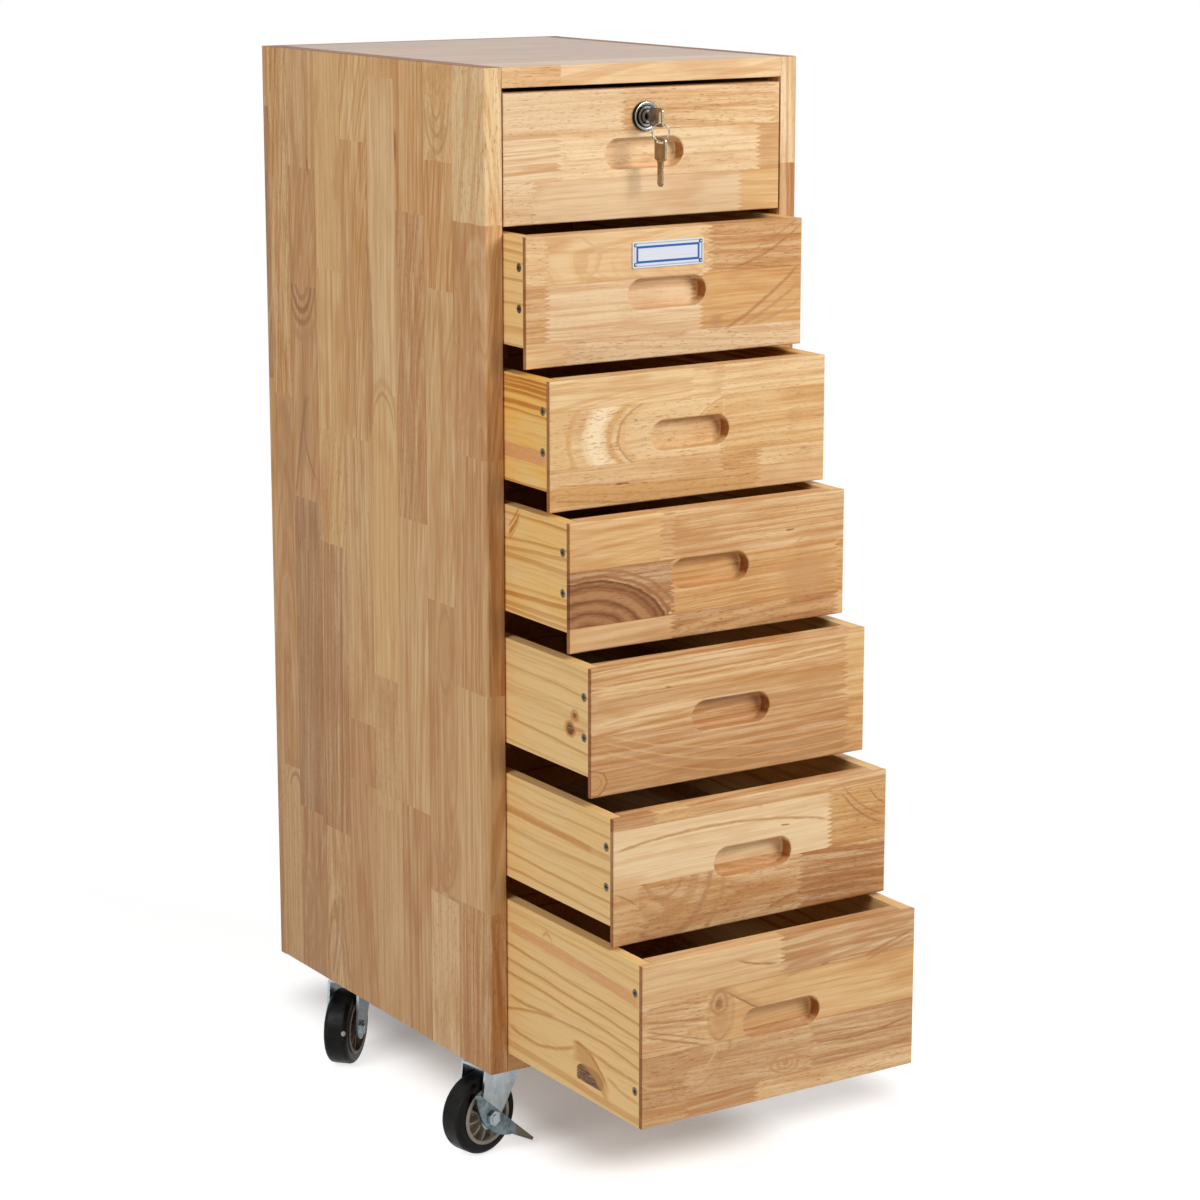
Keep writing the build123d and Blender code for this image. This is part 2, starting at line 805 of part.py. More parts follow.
def brake_lever():
    """The brake's plate and foot pedal, on the near side of the wheel at its axle."""
    half = lever_half_width
    plate = make_face([
        Line((-lever_top, half), (lever_heel, half)),
        Line((lever_heel, half), (lever_heel, -lever_thickness / 2)),
        ThreePointArc((lever_heel, -lever_thickness / 2), (lever_thickness, -lever_belly),
                      (-lever_top, half / 2)),
        Line((-lever_top, half / 2), (-lever_top, half))])
    upper = [v for v in plate.vertices() if v.X < 0]
    plate = fillet(upper, lever_corner)
    pedal = make_face(Polyline(
        (0, half), (lever_pedal_length, half - lever_tip_rise),
        (lever_pedal_length, half - lever_tip_rise - lever_tip_width),
        (0, -lever_thickness / 2), (0, half)))
    flat = extrude(plate, lever_thickness)
    splayed = Pos(lever_heel - lever_thickness / 2, 0, 0) * Rot(0, -lever_pedal_splay, 0) * extrude(
        pedal, lever_thickness)
    lever = flat + splayed - rod((0, 0, 0), (0, 0, 1), axle_radius + running_clearance,
                                 lever_thickness)
    outside = fork_inside() + fork_thickness + lever_gap
    place = Plane(origin=(-trail, -outside, axle_z), x_dir=(1, 0, 0), z_dir=(0, -1, 0)).location
    return place * Rot(0, 0, -lever_slope) * lever


os.makedirs("parts", exist_ok=True)

save("side_panel_left", side_panel(-1))
save("side_panel_right", side_panel(1))
save("top_panel", end_panel(body_top - board) - cam_mortise())
save("bottom_panel", bottom_panel())
save("back_panel", back_panel())
save("drawer_runners", *runners())
save("carcass_screws", *carcass_screws())
save("carcass_dowels", *[dowel(*spot) for spot in dowel_spots()])

for number in range(drawers):
    name = f"drawer_{number + 1}"
    front = drawer_front(number)
    if number == 0:
        front -= lock_rod(housing_radius, lock_face(), lock_face() + board)
    if number == 1:
        front -= plate_holes()
    save(name + "_front", front)
    save(name + "_box", *drawer_box(number))
    save(name + "_bottom", drawer_bottom(number))
    save(name + "_screws", *drawer_screws(number))

save("lock_housing", lock_housing())
save("lock_plug", lock_plug())
save("lock_nut", lock_nut())
save("lock_cam", *lock_cam())
save("key", inserted_key())
save("key_ring", key_ring())
save("spare_key", spare_key())
save("front_plate", *plate_and_pins())

save("caster_plates", *[piece for spot in caster_spots() for piece in caster_plate(*spot)])
save("caster_screws", *caster_screws())
hub_shape, tyre_shape, lever_shape = hub(), tyre(), brake_lever()
for name, turn, (x, y) in zip(caster_names, caster_turns, caster_spots()):
    braked = name.startswith("front")
    swivel = Pos(x, y, 0) * Rot(0, 0, turn)
    wheel = swivel * Pos(-trail, 0, axle_z)
    save(f"fork_{name}", *[swivel * piece for piece in caster_fork(braked)])
    save(f"hub_{name}", wheel * hub_shape)
    save(f"tyre_{name}", wheel * tyre_shape)
    if braked:
        save(f"brake_lever_{name}", swivel * lever_shape)
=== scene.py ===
import math
import random

import bpy
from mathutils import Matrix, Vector

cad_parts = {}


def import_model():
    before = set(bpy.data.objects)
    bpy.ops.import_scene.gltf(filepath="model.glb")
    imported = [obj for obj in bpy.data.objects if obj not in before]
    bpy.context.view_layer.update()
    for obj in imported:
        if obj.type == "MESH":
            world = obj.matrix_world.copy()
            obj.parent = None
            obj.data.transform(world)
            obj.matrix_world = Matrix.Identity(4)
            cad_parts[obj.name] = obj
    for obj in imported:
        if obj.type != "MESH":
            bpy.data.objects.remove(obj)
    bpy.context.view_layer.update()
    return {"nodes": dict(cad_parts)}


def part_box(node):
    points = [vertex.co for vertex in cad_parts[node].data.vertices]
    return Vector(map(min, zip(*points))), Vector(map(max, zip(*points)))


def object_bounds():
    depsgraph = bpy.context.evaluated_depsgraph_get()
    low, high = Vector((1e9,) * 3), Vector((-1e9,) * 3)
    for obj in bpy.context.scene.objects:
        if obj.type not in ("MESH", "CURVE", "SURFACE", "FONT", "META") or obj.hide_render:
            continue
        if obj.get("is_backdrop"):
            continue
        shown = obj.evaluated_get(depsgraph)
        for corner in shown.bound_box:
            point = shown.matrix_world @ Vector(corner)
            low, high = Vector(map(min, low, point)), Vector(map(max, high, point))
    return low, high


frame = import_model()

# The rolling drawer cabinet's looks: finishes for every CAD node, a floor, lights and the camera.
# Blender's units are metres. The woods' layouts and shaders are in millimetres, as part.py's sizes are.

nodes = frame["nodes"]
MM = 0.001
X, Y, Z = 0, 1, 2

# Colours, sRGB from 0 to 255

WOOD = {
    "soot": (92, 58, 34),
    "walnut": (156, 102, 62),
    "dark": (170, 118, 74),
    "umber": (190, 143, 97),
    "brown": (200, 149, 98),
    "russet": (207, 157, 104),
    "rose": (211, 167, 119),
    "honey": (217, 168, 108),
    "tan": (219, 175, 122),
    "golden": (226, 182, 124),
    "light": (230, 190, 139),
    "straw": (234, 198, 146),
    "pale": (234, 201, 158),
    "cream": (242, 210, 164),
    "blond": (252, 226, 186),
}

# Layout of the glued wood. A board is a list of staves, each (far edge across the grain, pieces),
# and a piece is (end along the grain, colour, figure, streaks). Figure 0 is straight grain and 1 is
# flat-sawn with arches; streaks says how strong its lines are. Ends of None run to the board's end.
FRONTS = {
    1: ((37, ((32, "pale", 0.2, 0.2), (250, "pale", 0.1, 0.2), (None, "golden", 0.3, 0.2))),
        (78, ((57, "pale", 0.1, 0.8), (270, "cream", 0.3, 0.35), (None, "tan", 0.5, 0.3))),
        (None, ((122, "pale", 0.3, 0.2), (288, "light", 0.2, 0.7), (None, "light", 0.2, 0.3)))),
    2: ((22, ((38, "light", 0.3, 0.3), (None, "pale", 0.4, 0.4))),
        (72, ((21, "tan", 0.1, 0.7), (183, "pale", 0.2, 0.4), (None, "honey", 0.5, 0.3))),
        (None, ((193, "light", 0.8, 0.3), (None, "russet", 0.6, 0.6)))),
    3: ((20, ((222, "golden", 0.2, 0.5), (None, "light", 0.4, 0.3))),
        (37, ((180, "light", 0.1, 0.3), (222, "honey", 0.1, 0.7), (None, "straw", 0.4, 0.3))),
        (88, ((181, "straw", 0.2, 0.2), (None, "golden", 0.5, 0.4))),
        (None, ((148, "straw", 0.1, 0.6), (None, "straw", 0.1, 0.5)))),
    4: ((22, ((106, "light", 0.2, 0.3), (286, "brown", 0.6, 0.5), (None, "golden", 0.2, 0.3))),
        (72, ((107, "umber", 0.2, 0.5), (None, "honey", 0.3, 0.5))),
        (None, ((95, "golden", 0.2, 0.4), (None, "tan", 0.2, 0.7)))),
    5: ((53, ((274, "russet", 0.2, 0.6), (None, "honey", 0.3, 0.4))),
        (None, ((273, "tan", 0.1, 1.0), (None, "golden", 0.3, 0.3)))),
    6: ((52, ((27, "tan", 0.5, 0.3), (198, "tan", 1.0, 0.6), (None, "brown", 0.3, 0.9))),
        (104, ((231, "cream", 0.3, 0.2), (None, "honey", 0.5, 0.4))),
        (None, ((43, "brown", 0.2, 0.5), (78, "golden", 0.1, 0.4), (None, "tan", 0.1, 0.7)))),
    7: ((18, ((45, "russet", 0.2, 0.3), (120, "brown", 0.4, 0.4), (None, "light", 0.1, 0.4))),
        (64, ((180, "rose", 0.6, 0.4), (None, "rose", 0.2, 0.8))),
        (113, ((69, "light", 0.1, 0.6), (None, "golden", 0.4, 0.25))),
        (None, ((147, "light", 0.5, 0.25), (None, "rose", 0.4, 0.8)))),
}
LEFT_SIDE = (
    (55, ((152, "russet", 0.1, 0.7), (355, "tan", 0.1, 0.5), (568, "russet", 0.6, 0.6),
          (775, "russet", 0.7, 0.4), (None, "straw", 0.1, 0.5))),
    (106, ((148, "light", 0.1, 0.4), (425, "russet", 0.9, 0.3), (713, "tan", 0.2, 0.5),
           (825, "honey", 0.1, 0.8), (None, "golden", 0.9, 0.4))),
    (159, ((218, "russet", 0.1, 0.5), (495, "tan", 0.1, 0.5), (775, "russet", 0.4, 0.6),
           (None, "honey", 0.2, 0.6))),
    (210, ((205, "tan", 0.1, 0.2), (335, "tan", 0.2, 0.2), (605, "golden", 0.9, 0.2),
           (893, "light", 0.3, 0.4), (None, "honey", 0.1, 0.3))),
    (262, ((280, "russet", 0.2, 0.3), (555, "tan", 0.2, 0.5), (835, "honey", 0.2, 0.8),
           (None, "golden", 0.1, 0.8))),
    (313, ((160, "tan", 1.0, 0.7), (443, "brown", 0.1, 0.8), (707, "golden", 0.2, 0.5),
           (None, "golden", 0.1, 0.2))),
    (366, ((165, "brown", 0.9, 0.4), (480, "umber", 0.1, 0.4), (800, "russet", 0.5, 0.4),
           (None, "tan", 0.2, 0.5))),
    (None, ((200, "tan", 0.1, 0.3), (575, "russet", 0.9, 0.4), (None, "honey", 0.1, 0.9))),
)
TOP = (
    (52, ((60, "golden", 0.2, 0.4), (None, "light", 0.2, 0.4))),
    (104, ((190, "umber", 0.3, 0.3), (None, "brown", 0.3, 0.3))),
    (156, ((110, "brown", 0.2, 0.4), (None, "umber", 0.6, 0.3))),
    (208, ((240, "umber", 0.5, 0.3), (None, "russet", 0.2, 0.3))),
    (260, ((70, "russet", 0.2, 0.3), (None, "umber", 0.2, 0.4))),
    (312, ((210, "brown", 0.7, 0.3), (None, "umber", 0.3, 0.3))),
    (364, ((130, "umber", 0.2, 0.3), (None, "brown", 0.4, 0.3))),
    (None, ((180, "umber", 0.3, 0.3), (None, "umber", 0.2, 0.3))),
)
# Staves that the photo doesn't show: their width and the usual length of a piece
STAVE_WIDTH = 51.6
STAVE_PIECE = 240
FINGER_PITCH = 4.2
FINGER_LENGTH = 7.0
# The wood's own lines darken and lighten its colour, its pores and end grain darken it further; end grain
# is also painted darker as shade
LATE_WOOD = (224, 196, 166)
EARLY_WOOD = (255, 232, 190)
PORE = (196, 156, 122)
END_GRAIN_AND_SHADE = ((168, 132, 104), (206, 170, 140))
PINE_END = (206, 176, 146)

# Marks that stand out in one place. Distances are from a front's lower left corner, as seen.
# "rings" has (centre, squeeze across the grain, window (left, right, low, high), bands), and
# "line" has (three points that it passes through, bands). A band is (radius or offset, half width,
# softness, colour, strength).
MARKS = {
    2: (("line", ((205, 18), (250, 42), (296, 77)), ((0, 0.5, 2.6, "dark", 0.7),)),
        ("line", ((222, 20), (262, 38), (296, 60)), ((0, 0.5, 2.4, "umber", 0.8),)),
        ("line", ((236, 22), (268, 30), (296, 44)), ((0, 0.4, 2.0, "umber", 0.6),)),
        ("line", ((214, 74), (262, 90), (296, 112)), ((0, 0.5, 1.4, "dark", 0.7),
                                                     (9, 0.4, 1.2, "dark", 0.4))),
        ("rings", (200, 29), 0.6, (184, 214, 22, 40), ((0, 3, 8, "umber", 0.8),)),
        ("rings", (30, 92), 0.5, (0, 90, 72, 115), ((46, 0.6, 2.0, "tan", 0.9),))),
    3: (("rings", (122, 60), 0.62, (0, 104, 37, 88), (
            (48, 1.5, 4, "golden", 0.8), (52, 0.6, 1.4, "umber", 0.8), (61, 1.4, 3.0, "honey", 0.9),
            (77, 9.0, 5.0, "cream", 1.0), (77, 4.0, 5.0, "blond", 0.9), (103, 0.8, 3.5, "honey", 0.9),
            (116, 6, 6, "golden", 0.6))),
        ("rings", (190, 50), 0.9, (146, 181, 68, 88), (
            (30, 5.0, 5.0, "honey", 0.9), (26, 0.4, 0.8, "brown", 0.7), (40, 0.4, 0.8, "brown", 0.7))),
        ("rings", (262, 62), 0.6, (222, 295, 37, 88), ((0, 3, 12, "russet", 0.8),)),
        ("line", ((0, 24), (100, 17), (222, 14)), ((-9, 7.5, 0.5, "honey", 0.9),
                                                 (0, 0.3, 0.7, "brown", 0.8))),
        ("line", ((0, 11), (60, 4), (110, 0)), ((0, 0.5, 0.9, "umber", 0.8),)),
        ("line", ((0, 16), (110, 8), (222, 6)), ((0, 0.4, 1.2, "brown", 0.6),)),
        ("line", ((66, 19.6), (75, 18.8), (84, 18.4)), ((0, 0.4, 0.5, "soot", 0.8),)),
        ("line", ((196, 34), (210, 33.6), (224, 33)), ((0, 0.5, 0.8, "umber", 0.8),))),
    4: (("rings", (18, 6), 0.66, (0, 107, 22, 72), (
            (0, 84, 2.0, "walnut", 1.0), (90, 1.2, 1.4, "walnut", 0.8), (99, 1.0, 2.0, "dark", 0.8),
            (84, 0.9, 1.4, "soot", 0.65), (77, 0.9, 1.6, "soot", 0.5), (66, 3.0, 3.0, "umber", 0.7),
            (58, 0.9, 1.6, "soot", 0.5), (50, 1.8, 2.4, "umber", 0.55), (42, 0.8, 1.5, "soot", 0.55),
            (34, 2.0, 2.5, "umber", 0.5), (26, 0.8, 1.5, "soot", 0.4))),
        ("rings", (252, 40), 0.8, (107, 296, 22, 72), ((0, 16, 22, "brown", 0.8),)),
        ("line", ((212, 46), (236, 68), (262, 82)), ((0, 0.6, 2.0, "russet", 0.6),)),
        ("line", ((228, 84.6), (233, 84.8), (240, 85)), ((0, 0.4, 0.8, "soot", 0.75),)),
        ("line", ((106, 6), (170, 14), (240, 20)), ((0, 1.0, 3.0, "golden", 0.8),)),
        ("line", ((150, 2), (200, 8), (288, 10)), ((0, 1.4, 3.5, "golden", 0.6),)),
        ("rings", (104, 24), 1.0, (90, 112, 20, 30), ((0, 0.8, 1.4, "cream", 0.9),))),
    5: (("rings", (3, 13), 0.9, (0, 30, 0, 40), (
            (0, 11, 1.0, "russet", 0.9), (12.3, 0.5, 0.7, "dark", 0.9), (7, 0.4, 0.8, "dark", 0.4))),
        ("line", ((10, 56), (90, 34), (290, 27)), ((0, 0.4, 1.0, "golden", 0.55),
                                                  (-4, 1.2, 2.5, "umber", 0.5))),
        ("line", ((10, 50), (90, 25), (290, 16)), ((0, 0.4, 1.0, "golden", 0.5),
                                                  (-4, 1.4, 2.5, "umber", 0.45))),
        ("line", ((10, 42), (90, 15), (290, 8)), ((0, 0.4, 1.0, "golden", 0.4),
                                                 (-4, 1.2, 2.5, "umber", 0.4))),
        ("line", ((0, 63), (90, 69), (110, 68)), ((0, 0.7, 1.2, "straw", 0.8),)),
        ("line", ((0, 91), (140, 92), (273, 98)), ((0, 0.6, 1.2, "straw", 0.8),
                                                   (6, 0.5, 1.2, "straw", 0.7))),
        ("line", ((0, 81), (130, 79), (273, 74)), ((0, 3.0, 4.0, "brown", 0.6),)),
        ("line", ((120, 66), (200, 62), (273, 60)), ((0, 4.0, 4.0, "umber", 0.5),)),
        ("line", ((76, 89.5), (80, 89), (84, 88.6)), ((0, 0.6, 0.7, "dark", 0.9),))),
    6: (("line", ((0, 85), (85, 93), (231, 79)), ((0, 0.5, 1.4, "brown", 0.9),)),
        ("line", ((176, 81.8), (182, 81.4), (188, 81)), ((0, 0.4, 0.6, "dark", 0.9),)),
        ("rings", (154, 104), 0.8, (144, 166, 94, 104), ((0, 1.5, 4.0, "tan", 0.9),)),
        ("line", ((240, 105), (262, 82), (296, 66)), ((0, 0.5, 1.2, "dark", 0.8),
                                                     (8, 0.5, 1.2, "dark", 0.6))),
        ("line", ((272, 105), (282, 92), (296, 84)), ((0, 0.6, 1.2, "dark", 0.7),)),
        ("line", ((0, 48), (16, 40), (27, 32)), ((0, 0.5, 0.9, "dark", 0.7),)),
        ("rings", (52, 60), 1.2, (27, 120, 0, 52), (
            (20, 0.8, 1.8, "umber", 0.7), (34, 2.5, 4.0, "brown", 0.7), (50, 1.2, 2.6, "umber", 0.8),
            (66, 1.0, 2.5, "brown", 0.8))),
        ("line", ((160, 6), (188, 15), (200, 16)), ((0, 0.5, 1.0, "dark", 0.8),)),
        ("line", ((198, 30), (240, 35), (296, 36)), ((0, 1.0, 2.2, "dark", 0.5),)),
        ("line", ((198, 18), (240, 24), (296, 20)), ((0, 1.2, 2.0, "dark", 0.5),)),
        ("line", ((198, 6), (240, 12), (296, 8)), ((0, 1.0, 2.2, "dark", 0.4),))),
    7: (("rings", (82, 89), 1.7, (66, 112, 64, 113), (
            (0, 6, 8, "brown", 0.8), (13, 0.5, 3.0, "dark", 0.3))),
        ("rings", (80, 100), 1.3, (66, 100, 84, 113), (
            (0, 1.4, 4.5, "walnut", 0.85), (8, 0.6, 2.2, "dark", 0.45))),
        ("line", ((84, 111), (104, 98), (131, 82)), ((0, 0.6, 1.0, "walnut", 0.85),
                                                    (3, 1.5, 3.0, "brown", 0.5))),
        ("line", ((70, 76), (80, 66), (92, 78)), ((0, 0.4, 1.4, "dark", 0.5),)),
        ("line", ((0, 108), (34, 107), (69, 104)), ((0, 0.3, 0.8, "dark", 0.6),
                                                   (-5, 0.3, 0.9, "dark", 0.5))),
        ("line", ((0, 96), (34, 92), (69, 88)), ((0, 0.6, 1.2, "dark", 0.7), (-5, 0.4, 1, "dark", 0.5))),
        ("line", ((0, 84), (34, 74), (72, 62)), ((0, 0.5, 1.0, "dark", 0.7), (5, 0.4, 1, "dark", 0.6))),
        ("rings", (152, 30), 0.6, (128, 180, 18, 50), (
            (0, 2.5, 1.2, "umber", 0.9), (8, 0.5, 1.5, "brown", 0.8), (15, 0.6, 2.5, "brown", 0.8))),
        ("rings", (30, 66), 0.7, (0, 110, 18, 64), (
            (28, 4, 8, "brown", 0.7), (62, 0.8, 2.2, "brown", 0.6), (48, 0.6, 1.6, "golden", 0.6))),
        ("line", ((96, 136), (120, 128), (147, 125)), ((0, 0.5, 1.0, "dark", 0.8),)),
        ("line", ((147, 118), (230, 130), (296, 138)), ((0, 0.9, 1.8, "umber", 0.8),
                                                       (-8, 0.8, 1.8, "umber", 0.7))),
        ("line", ((236, 113), (262, 120), (296, 129)), ((0, 0.8, 1.4, "dark", 0.7),
                                                       (-5, 0.6, 1.4, "dark", 0.5))),
        ("line", ((188, 114), (194, 114.4), (200, 114.6)), ((0, 0.8, 0.9, "dark", 0.8),)),
        ("line", ((180, 44), (240, 40), (296, 48)), ((0, 0.6, 1.2, "dark", 0.8),)),
        ("line", ((180, 22), (240, 22), (296, 26)), ((0, 0.6, 1.2, "dark", 0.6),))),
}
# Distances from the bottom of the left side, and from its front edge
SIDE_MARKS = (
    ("rings", (384, 76), 0.3, (330, 440, 60, 98), (
        (0, 26, 10, "russet", 0.6), (38, 1.5, 4.0, "umber", 0.8))),
    ("rings", (700, 344), 0.6, (620, 690, 313, 366), (
        (22, 1.2, 3.0, "dark", 0.7), (34, 1.6, 3.0, "walnut", 0.8), (46, 1.4, 3.5, "dark", 0.8),
        (60, 2.0, 4.0, "umber", 0.8))),
    ("rings", (570, 186), 0.55, (575, 625, 160, 210), (
        (36, 0.8, 2.5, "umber", 0.75), (47, 1.5, 5.0, "brown", 0.5))),
    ("rings", (884, 82), 0.45, (826, 880, 56, 106), (
        (18, 0.8, 2.5, "umber", 0.7), (33, 0.8, 2.5, "umber", 0.7), (48, 1.0, 3.0, "umber", 0.7))),
    ("rings", (204, 78), 0.45, (150, 200, 56, 106), (
        (18, 0.8, 2.5, "umber", 0.7), (30, 0.8, 2.5, "umber", 0.7), (46, 1.0, 3.0, "umber", 0.7))),
    ("rings", (60, 372), 1.0, (4, 160, 313, 366), (
        (20, 3.0, 5.0, "umber", 0.6), (36, 2.0, 4.0, "umber", 0.7), (52, 2.0, 4.0, "umber", 0.6))),
    ("rings", (180, 376), 0.6, (184, 216, 366, 398), (
        (18, 1.0, 2.5, "dark", 0.7), (30, 0.8, 2.5, "umber", 0.6))),
    ("rings", (640, 60), 1.0, (570, 700, 0, 55), (
        (30, 2.0, 4.0, "brown", 0.6), (42, 2.0, 4.0, "brown", 0.6), (54, 2.0, 4.0, "brown", 0.5))),
    ("line", ((500, 316), (545, 342), (590, 330)), (
        (0, 1.2, 1.8, "dark", 0.85), (8, 3, 5, "umber", 0.5))),
    ("line", ((480, 364), (540, 350), (590, 338)), (
        (0, 1.2, 1.8, "dark", 0.85), (-7, 2, 4, "umber", 0.5))),
    ("line", ((5, 306), (40, 296), (100, 290)), (
        (0, 1.0, 2.0, "umber", 0.9), (-9, 1.0, 2.5, "umber", 0.7))),
    ("line", ((5, 266), (40, 274), (100, 284)), (
        (0, 1.0, 2.0, "umber", 0.9), (6, 1.5, 3.0, "brown", 0.6))),
    ("line", ((560, 212), (640, 206), (750, 213)), (
        (0, 1.5, 3.0, "dark", 0.7), (9, 2.0, 4.0, "brown", 0.6))),
    ("line", ((560, 257), (640, 254), (800, 259)), (
        (0, 1.5, 3.0, "brown", 0.8), (-12, 2.0, 3.0, "brown", 0.6))),
    ("line", ((818, 157.5), (835, 156.5), (856, 157.5)), ((0, 1.2, 1.2, "walnut", 0.9),)),
    ("line", ((795, 326), (805, 327), (816, 328)), ((0, 0.8, 1.4, "walnut", 0.8),)),
    ("line", ((770, 345), (810, 350), (850, 362)), ((0, 1.4, 3.0, "umber", 0.8),)),
    ("line", ((440, 372), (520, 380), (570, 371)), (
        (0, 1.4, 2.0, "umber", 0.9), (12, 1.5, 3.5, "brown", 0.6))),
    ("line", ((430, 20), (490, 24), (565, 18)), (
        (0, 1.5, 3.0, "umber", 0.8), (9, 1.2, 3.0, "brown", 0.6))),
    ("line", ((500, 118), (560, 134), (640, 150)), ((0, 4.0, 8.0, "umber", 0.5),)),
    ("line", ((170, 290), (300, 296), (440, 288)), (
        (0, 2.0, 4.0, "umber", 0.6), (10, 1.5, 3.0, "umber", 0.5))),
)

# The pine boards: how orange each is, then its dark lines, each (height at the face, half way back
# and at PINE_REACH behind it, half width, strength). Heights are from a drawer's lowest point.
PINE = {
    1: (0.3, ((26, 28, 28, 0.5, 0.7), (41, 42, 42, 0.6, 0.7), (58, 58, 60, 0.5, 0.8),
              (70, 71, 70, 0.7, 0.7), (90, 91, 92, 0.5, 0.6), (104, 104, 104, 0.9, 0.6))),
    2: (0.3, ((20, 20, 20, 0.4, 0.7), (33, 33, 34, 2.6, 0.45), (56, 56, 57, 0.3, 0.8),
              (77, 77, 78, 0.5, 0.8), (92, 93, 93, 0.4, 0.5), (101, 102, 101, 0.8, 0.6),
              (109, 109, 109, 0.8, 0.5))),
    3: (1.0, ((20, 20, 20, 0.6, 0.9), (82, 84, 83, 0.5, 0.8), (90, 90, 90, 1.4, 1.0),
              (99, 100, 99, 0.9, 1.0), (104, 105, 105, 1.2, 1.0), (108, 109, 109, 0.6, 1.0),
              (112, 112, 112, 0.8, 1.0))),
    4: (0.6, ((22, 22, 22, 0.8, 0.8), (28, 27, 27, 1.5, 0.7), (40, 36, 34, 1.6, 1.0),
              (46, 44, 42, 0.8, 0.5), (70, 71, 72, 1.8, 0.7), (83, 77, 72, 1.1, 0.7),
              (91, 86, 84, 0.5, 0.8), (109, 109, 108, 0.6, 0.8))),
    5: (0.2, ((21, 22, 24, 0.5, 0.5), (37, 43, 46, 0.5, 0.9), (54, 50, 51, 0.3, 0.3),
              (64, 70, 68, 4.0, 0.28), (75, 78, 80, 0.3, 0.3), (88, 92, 93, 0.5, 0.7),
              (104, 106, 106, 0.9, 0.4), (110, 111, 111, 0.9, 0.4))),
    6: (0.25, ((25, 27, 28, 0.5, 0.8), (39, 41, 44, 0.5, 0.9), (48, 51, 52, 0.4, 0.3),
               (66, 64, 68, 1.4, 0.6), (79, 81, 83, 1.8, 0.6), (98, 97, 100, 0.6, 0.6),
               (110, 110, 111, 0.6, 0.4))),
    7: (0.25, ((6, 8, 12, 2.6, 0.6), (52, 60, 45, 0.6, 0.9), (67, 75, 79, 0.6, 0.9),
               (80, 87, 91, 0.6, 0.9), (94, 100, 106, 0.6, 0.9), (120, 122, 124, 0.8, 0.4),
               (131, 136, 139, 0.7, 0.4), (142, 142, 142, 0.7, 0.3))),
}
# Marks on the left pine boards, as (distance behind the face, height)
PINE_MARKS = {
    3: (("line", ((0, 46), (70, 47), (140, 48)), ((0, 6.0, 1.0, "blush", 0.9),)),),
    4: (("line", ((80, 114), (92, 98), (104, 88)), (
            (0, 1.6, 2.0, "ember", 0.9), (7, 1.0, 1.5, "ember", 0.8), (-5, 0.5, 1.0, "ember", 0.6))),),
    5: (("rings", (26, 69), 0.8, (8, 45, 56, 84), (
            (0, 2.5, 1.0, "knot", 0.9), (4.5, 0.5, 3.5, "ember", 0.7))),
        ("rings", (34, 55), 0.8, (10, 60, 44, 66), (
            (0, 5.5, 1.0, "knot", 1.0), (7, 0.5, 3.0, "ember", 0.7))),
        ("line", ((6, 56), (18, 57), (34, 56)), ((0, 0.8, 2.5, "ember", 0.6),))),
    6: (("line", ((30, 79), (90, 81), (190, 83)), ((0, 2.4, 2.0, "ember", 0.45),)),),
    7: (("rings", (84, 20), 0.5, (52, 104, 14, 30), ((0, 22, 1.5, "knot", 0.95), (9, 0.6, 2, "dusk", 0.7))),
        ("line", ((50, 16), (82, 42), (114, 46)), ((-8, 8, 3, "halo", 0.75), (0, 0.5, 1.8, "ember", 0.8))),
        ("line", ((0, 40), (50, 42), (104, 48)), ((0, 0.6, 2.2, "deep", 0.75),)),
        ("line", ((0, 22), (26, 23), (60, 31)), ((0, 0.5, 2.0, "deep", 0.6),)),
        ("line", ((104, 44), (130, 33), (224, 29)), ((0, 0.6, 2.2, "deep", 0.8),)),
        ("line", ((138, 60), (170, 57), (224, 57)), ((0, 0.6, 2.0, "deep", 0.8),)),
        ("line", ((0, 112), (110, 120), (224, 123)), ((0, 4.5, 1.2, "blush", 0.75),)),
        ("line", ((142, 121), (154, 134), (166, 121)), ((0, 0.8, 1.8, "blush", 0.9),))),
}
PINE_WOOD = {
    "pale": (246, 209, 148), "amber": (250, 194, 100), "deep": (206, 144, 74), "ember": (196, 116, 36),
    "halo": (206, 150, 82), "blush": (226, 160, 104), "knot": (104, 62, 40), "dusk": (70, 42, 30),
}
PINE_REACH = 220.0
# How softly a pine line starts below and ends above
PINE_SOFT = (3.2, 0.7)
# Where the rear left tyre has a pale fleck, in metres
FLECK = (-0.1585, 0.2018, 0.0426)
# The length of a brake lever's pedal tip, painted darker as shade, how softly it starts, and how far in
# from the plate's edges its pins are, in millimetres
LEVER_SHADED_TIP = 20
LEVER_FADE = 3
PIN_INSET = 3.0
# The lock's grooves and middle, painted dark as shade, as shares of its radius
LOCK_GROOVE_SHADE = ((0.96, 1.1), (0.68, 0.76), (0.44, 0.52), (0.0, 0.24))


def linear(colour):
    """An sRGB colour of 0 to 255 as the linear values that a shader takes."""
    parts = [c / 255 for c in colour]
    return [c / 12.92 if c <= 0.04045 else ((c + 0.055) / 1.055) ** 2.4 for c in parts] + [1.0]


def scaled(colour, factor):
    """A colour, lighter or darker as seen."""
    return tuple(min(255, c * factor) for c in colour)


def through(points):
    """The factors of the parabola a + b u + c u² through three points (u, v)."""
    (u0, v0), (u1, v1), (u2, v2) = points
    slope = (v1 - v0) / (u1 - u0)
    c = ((v2 - v0) / (u2 - u0) - slope) / (u2 - u1)
    b = slope - c * (u0 + u1)
    return v0 - b * u0 - c * u0 * u0, b, c


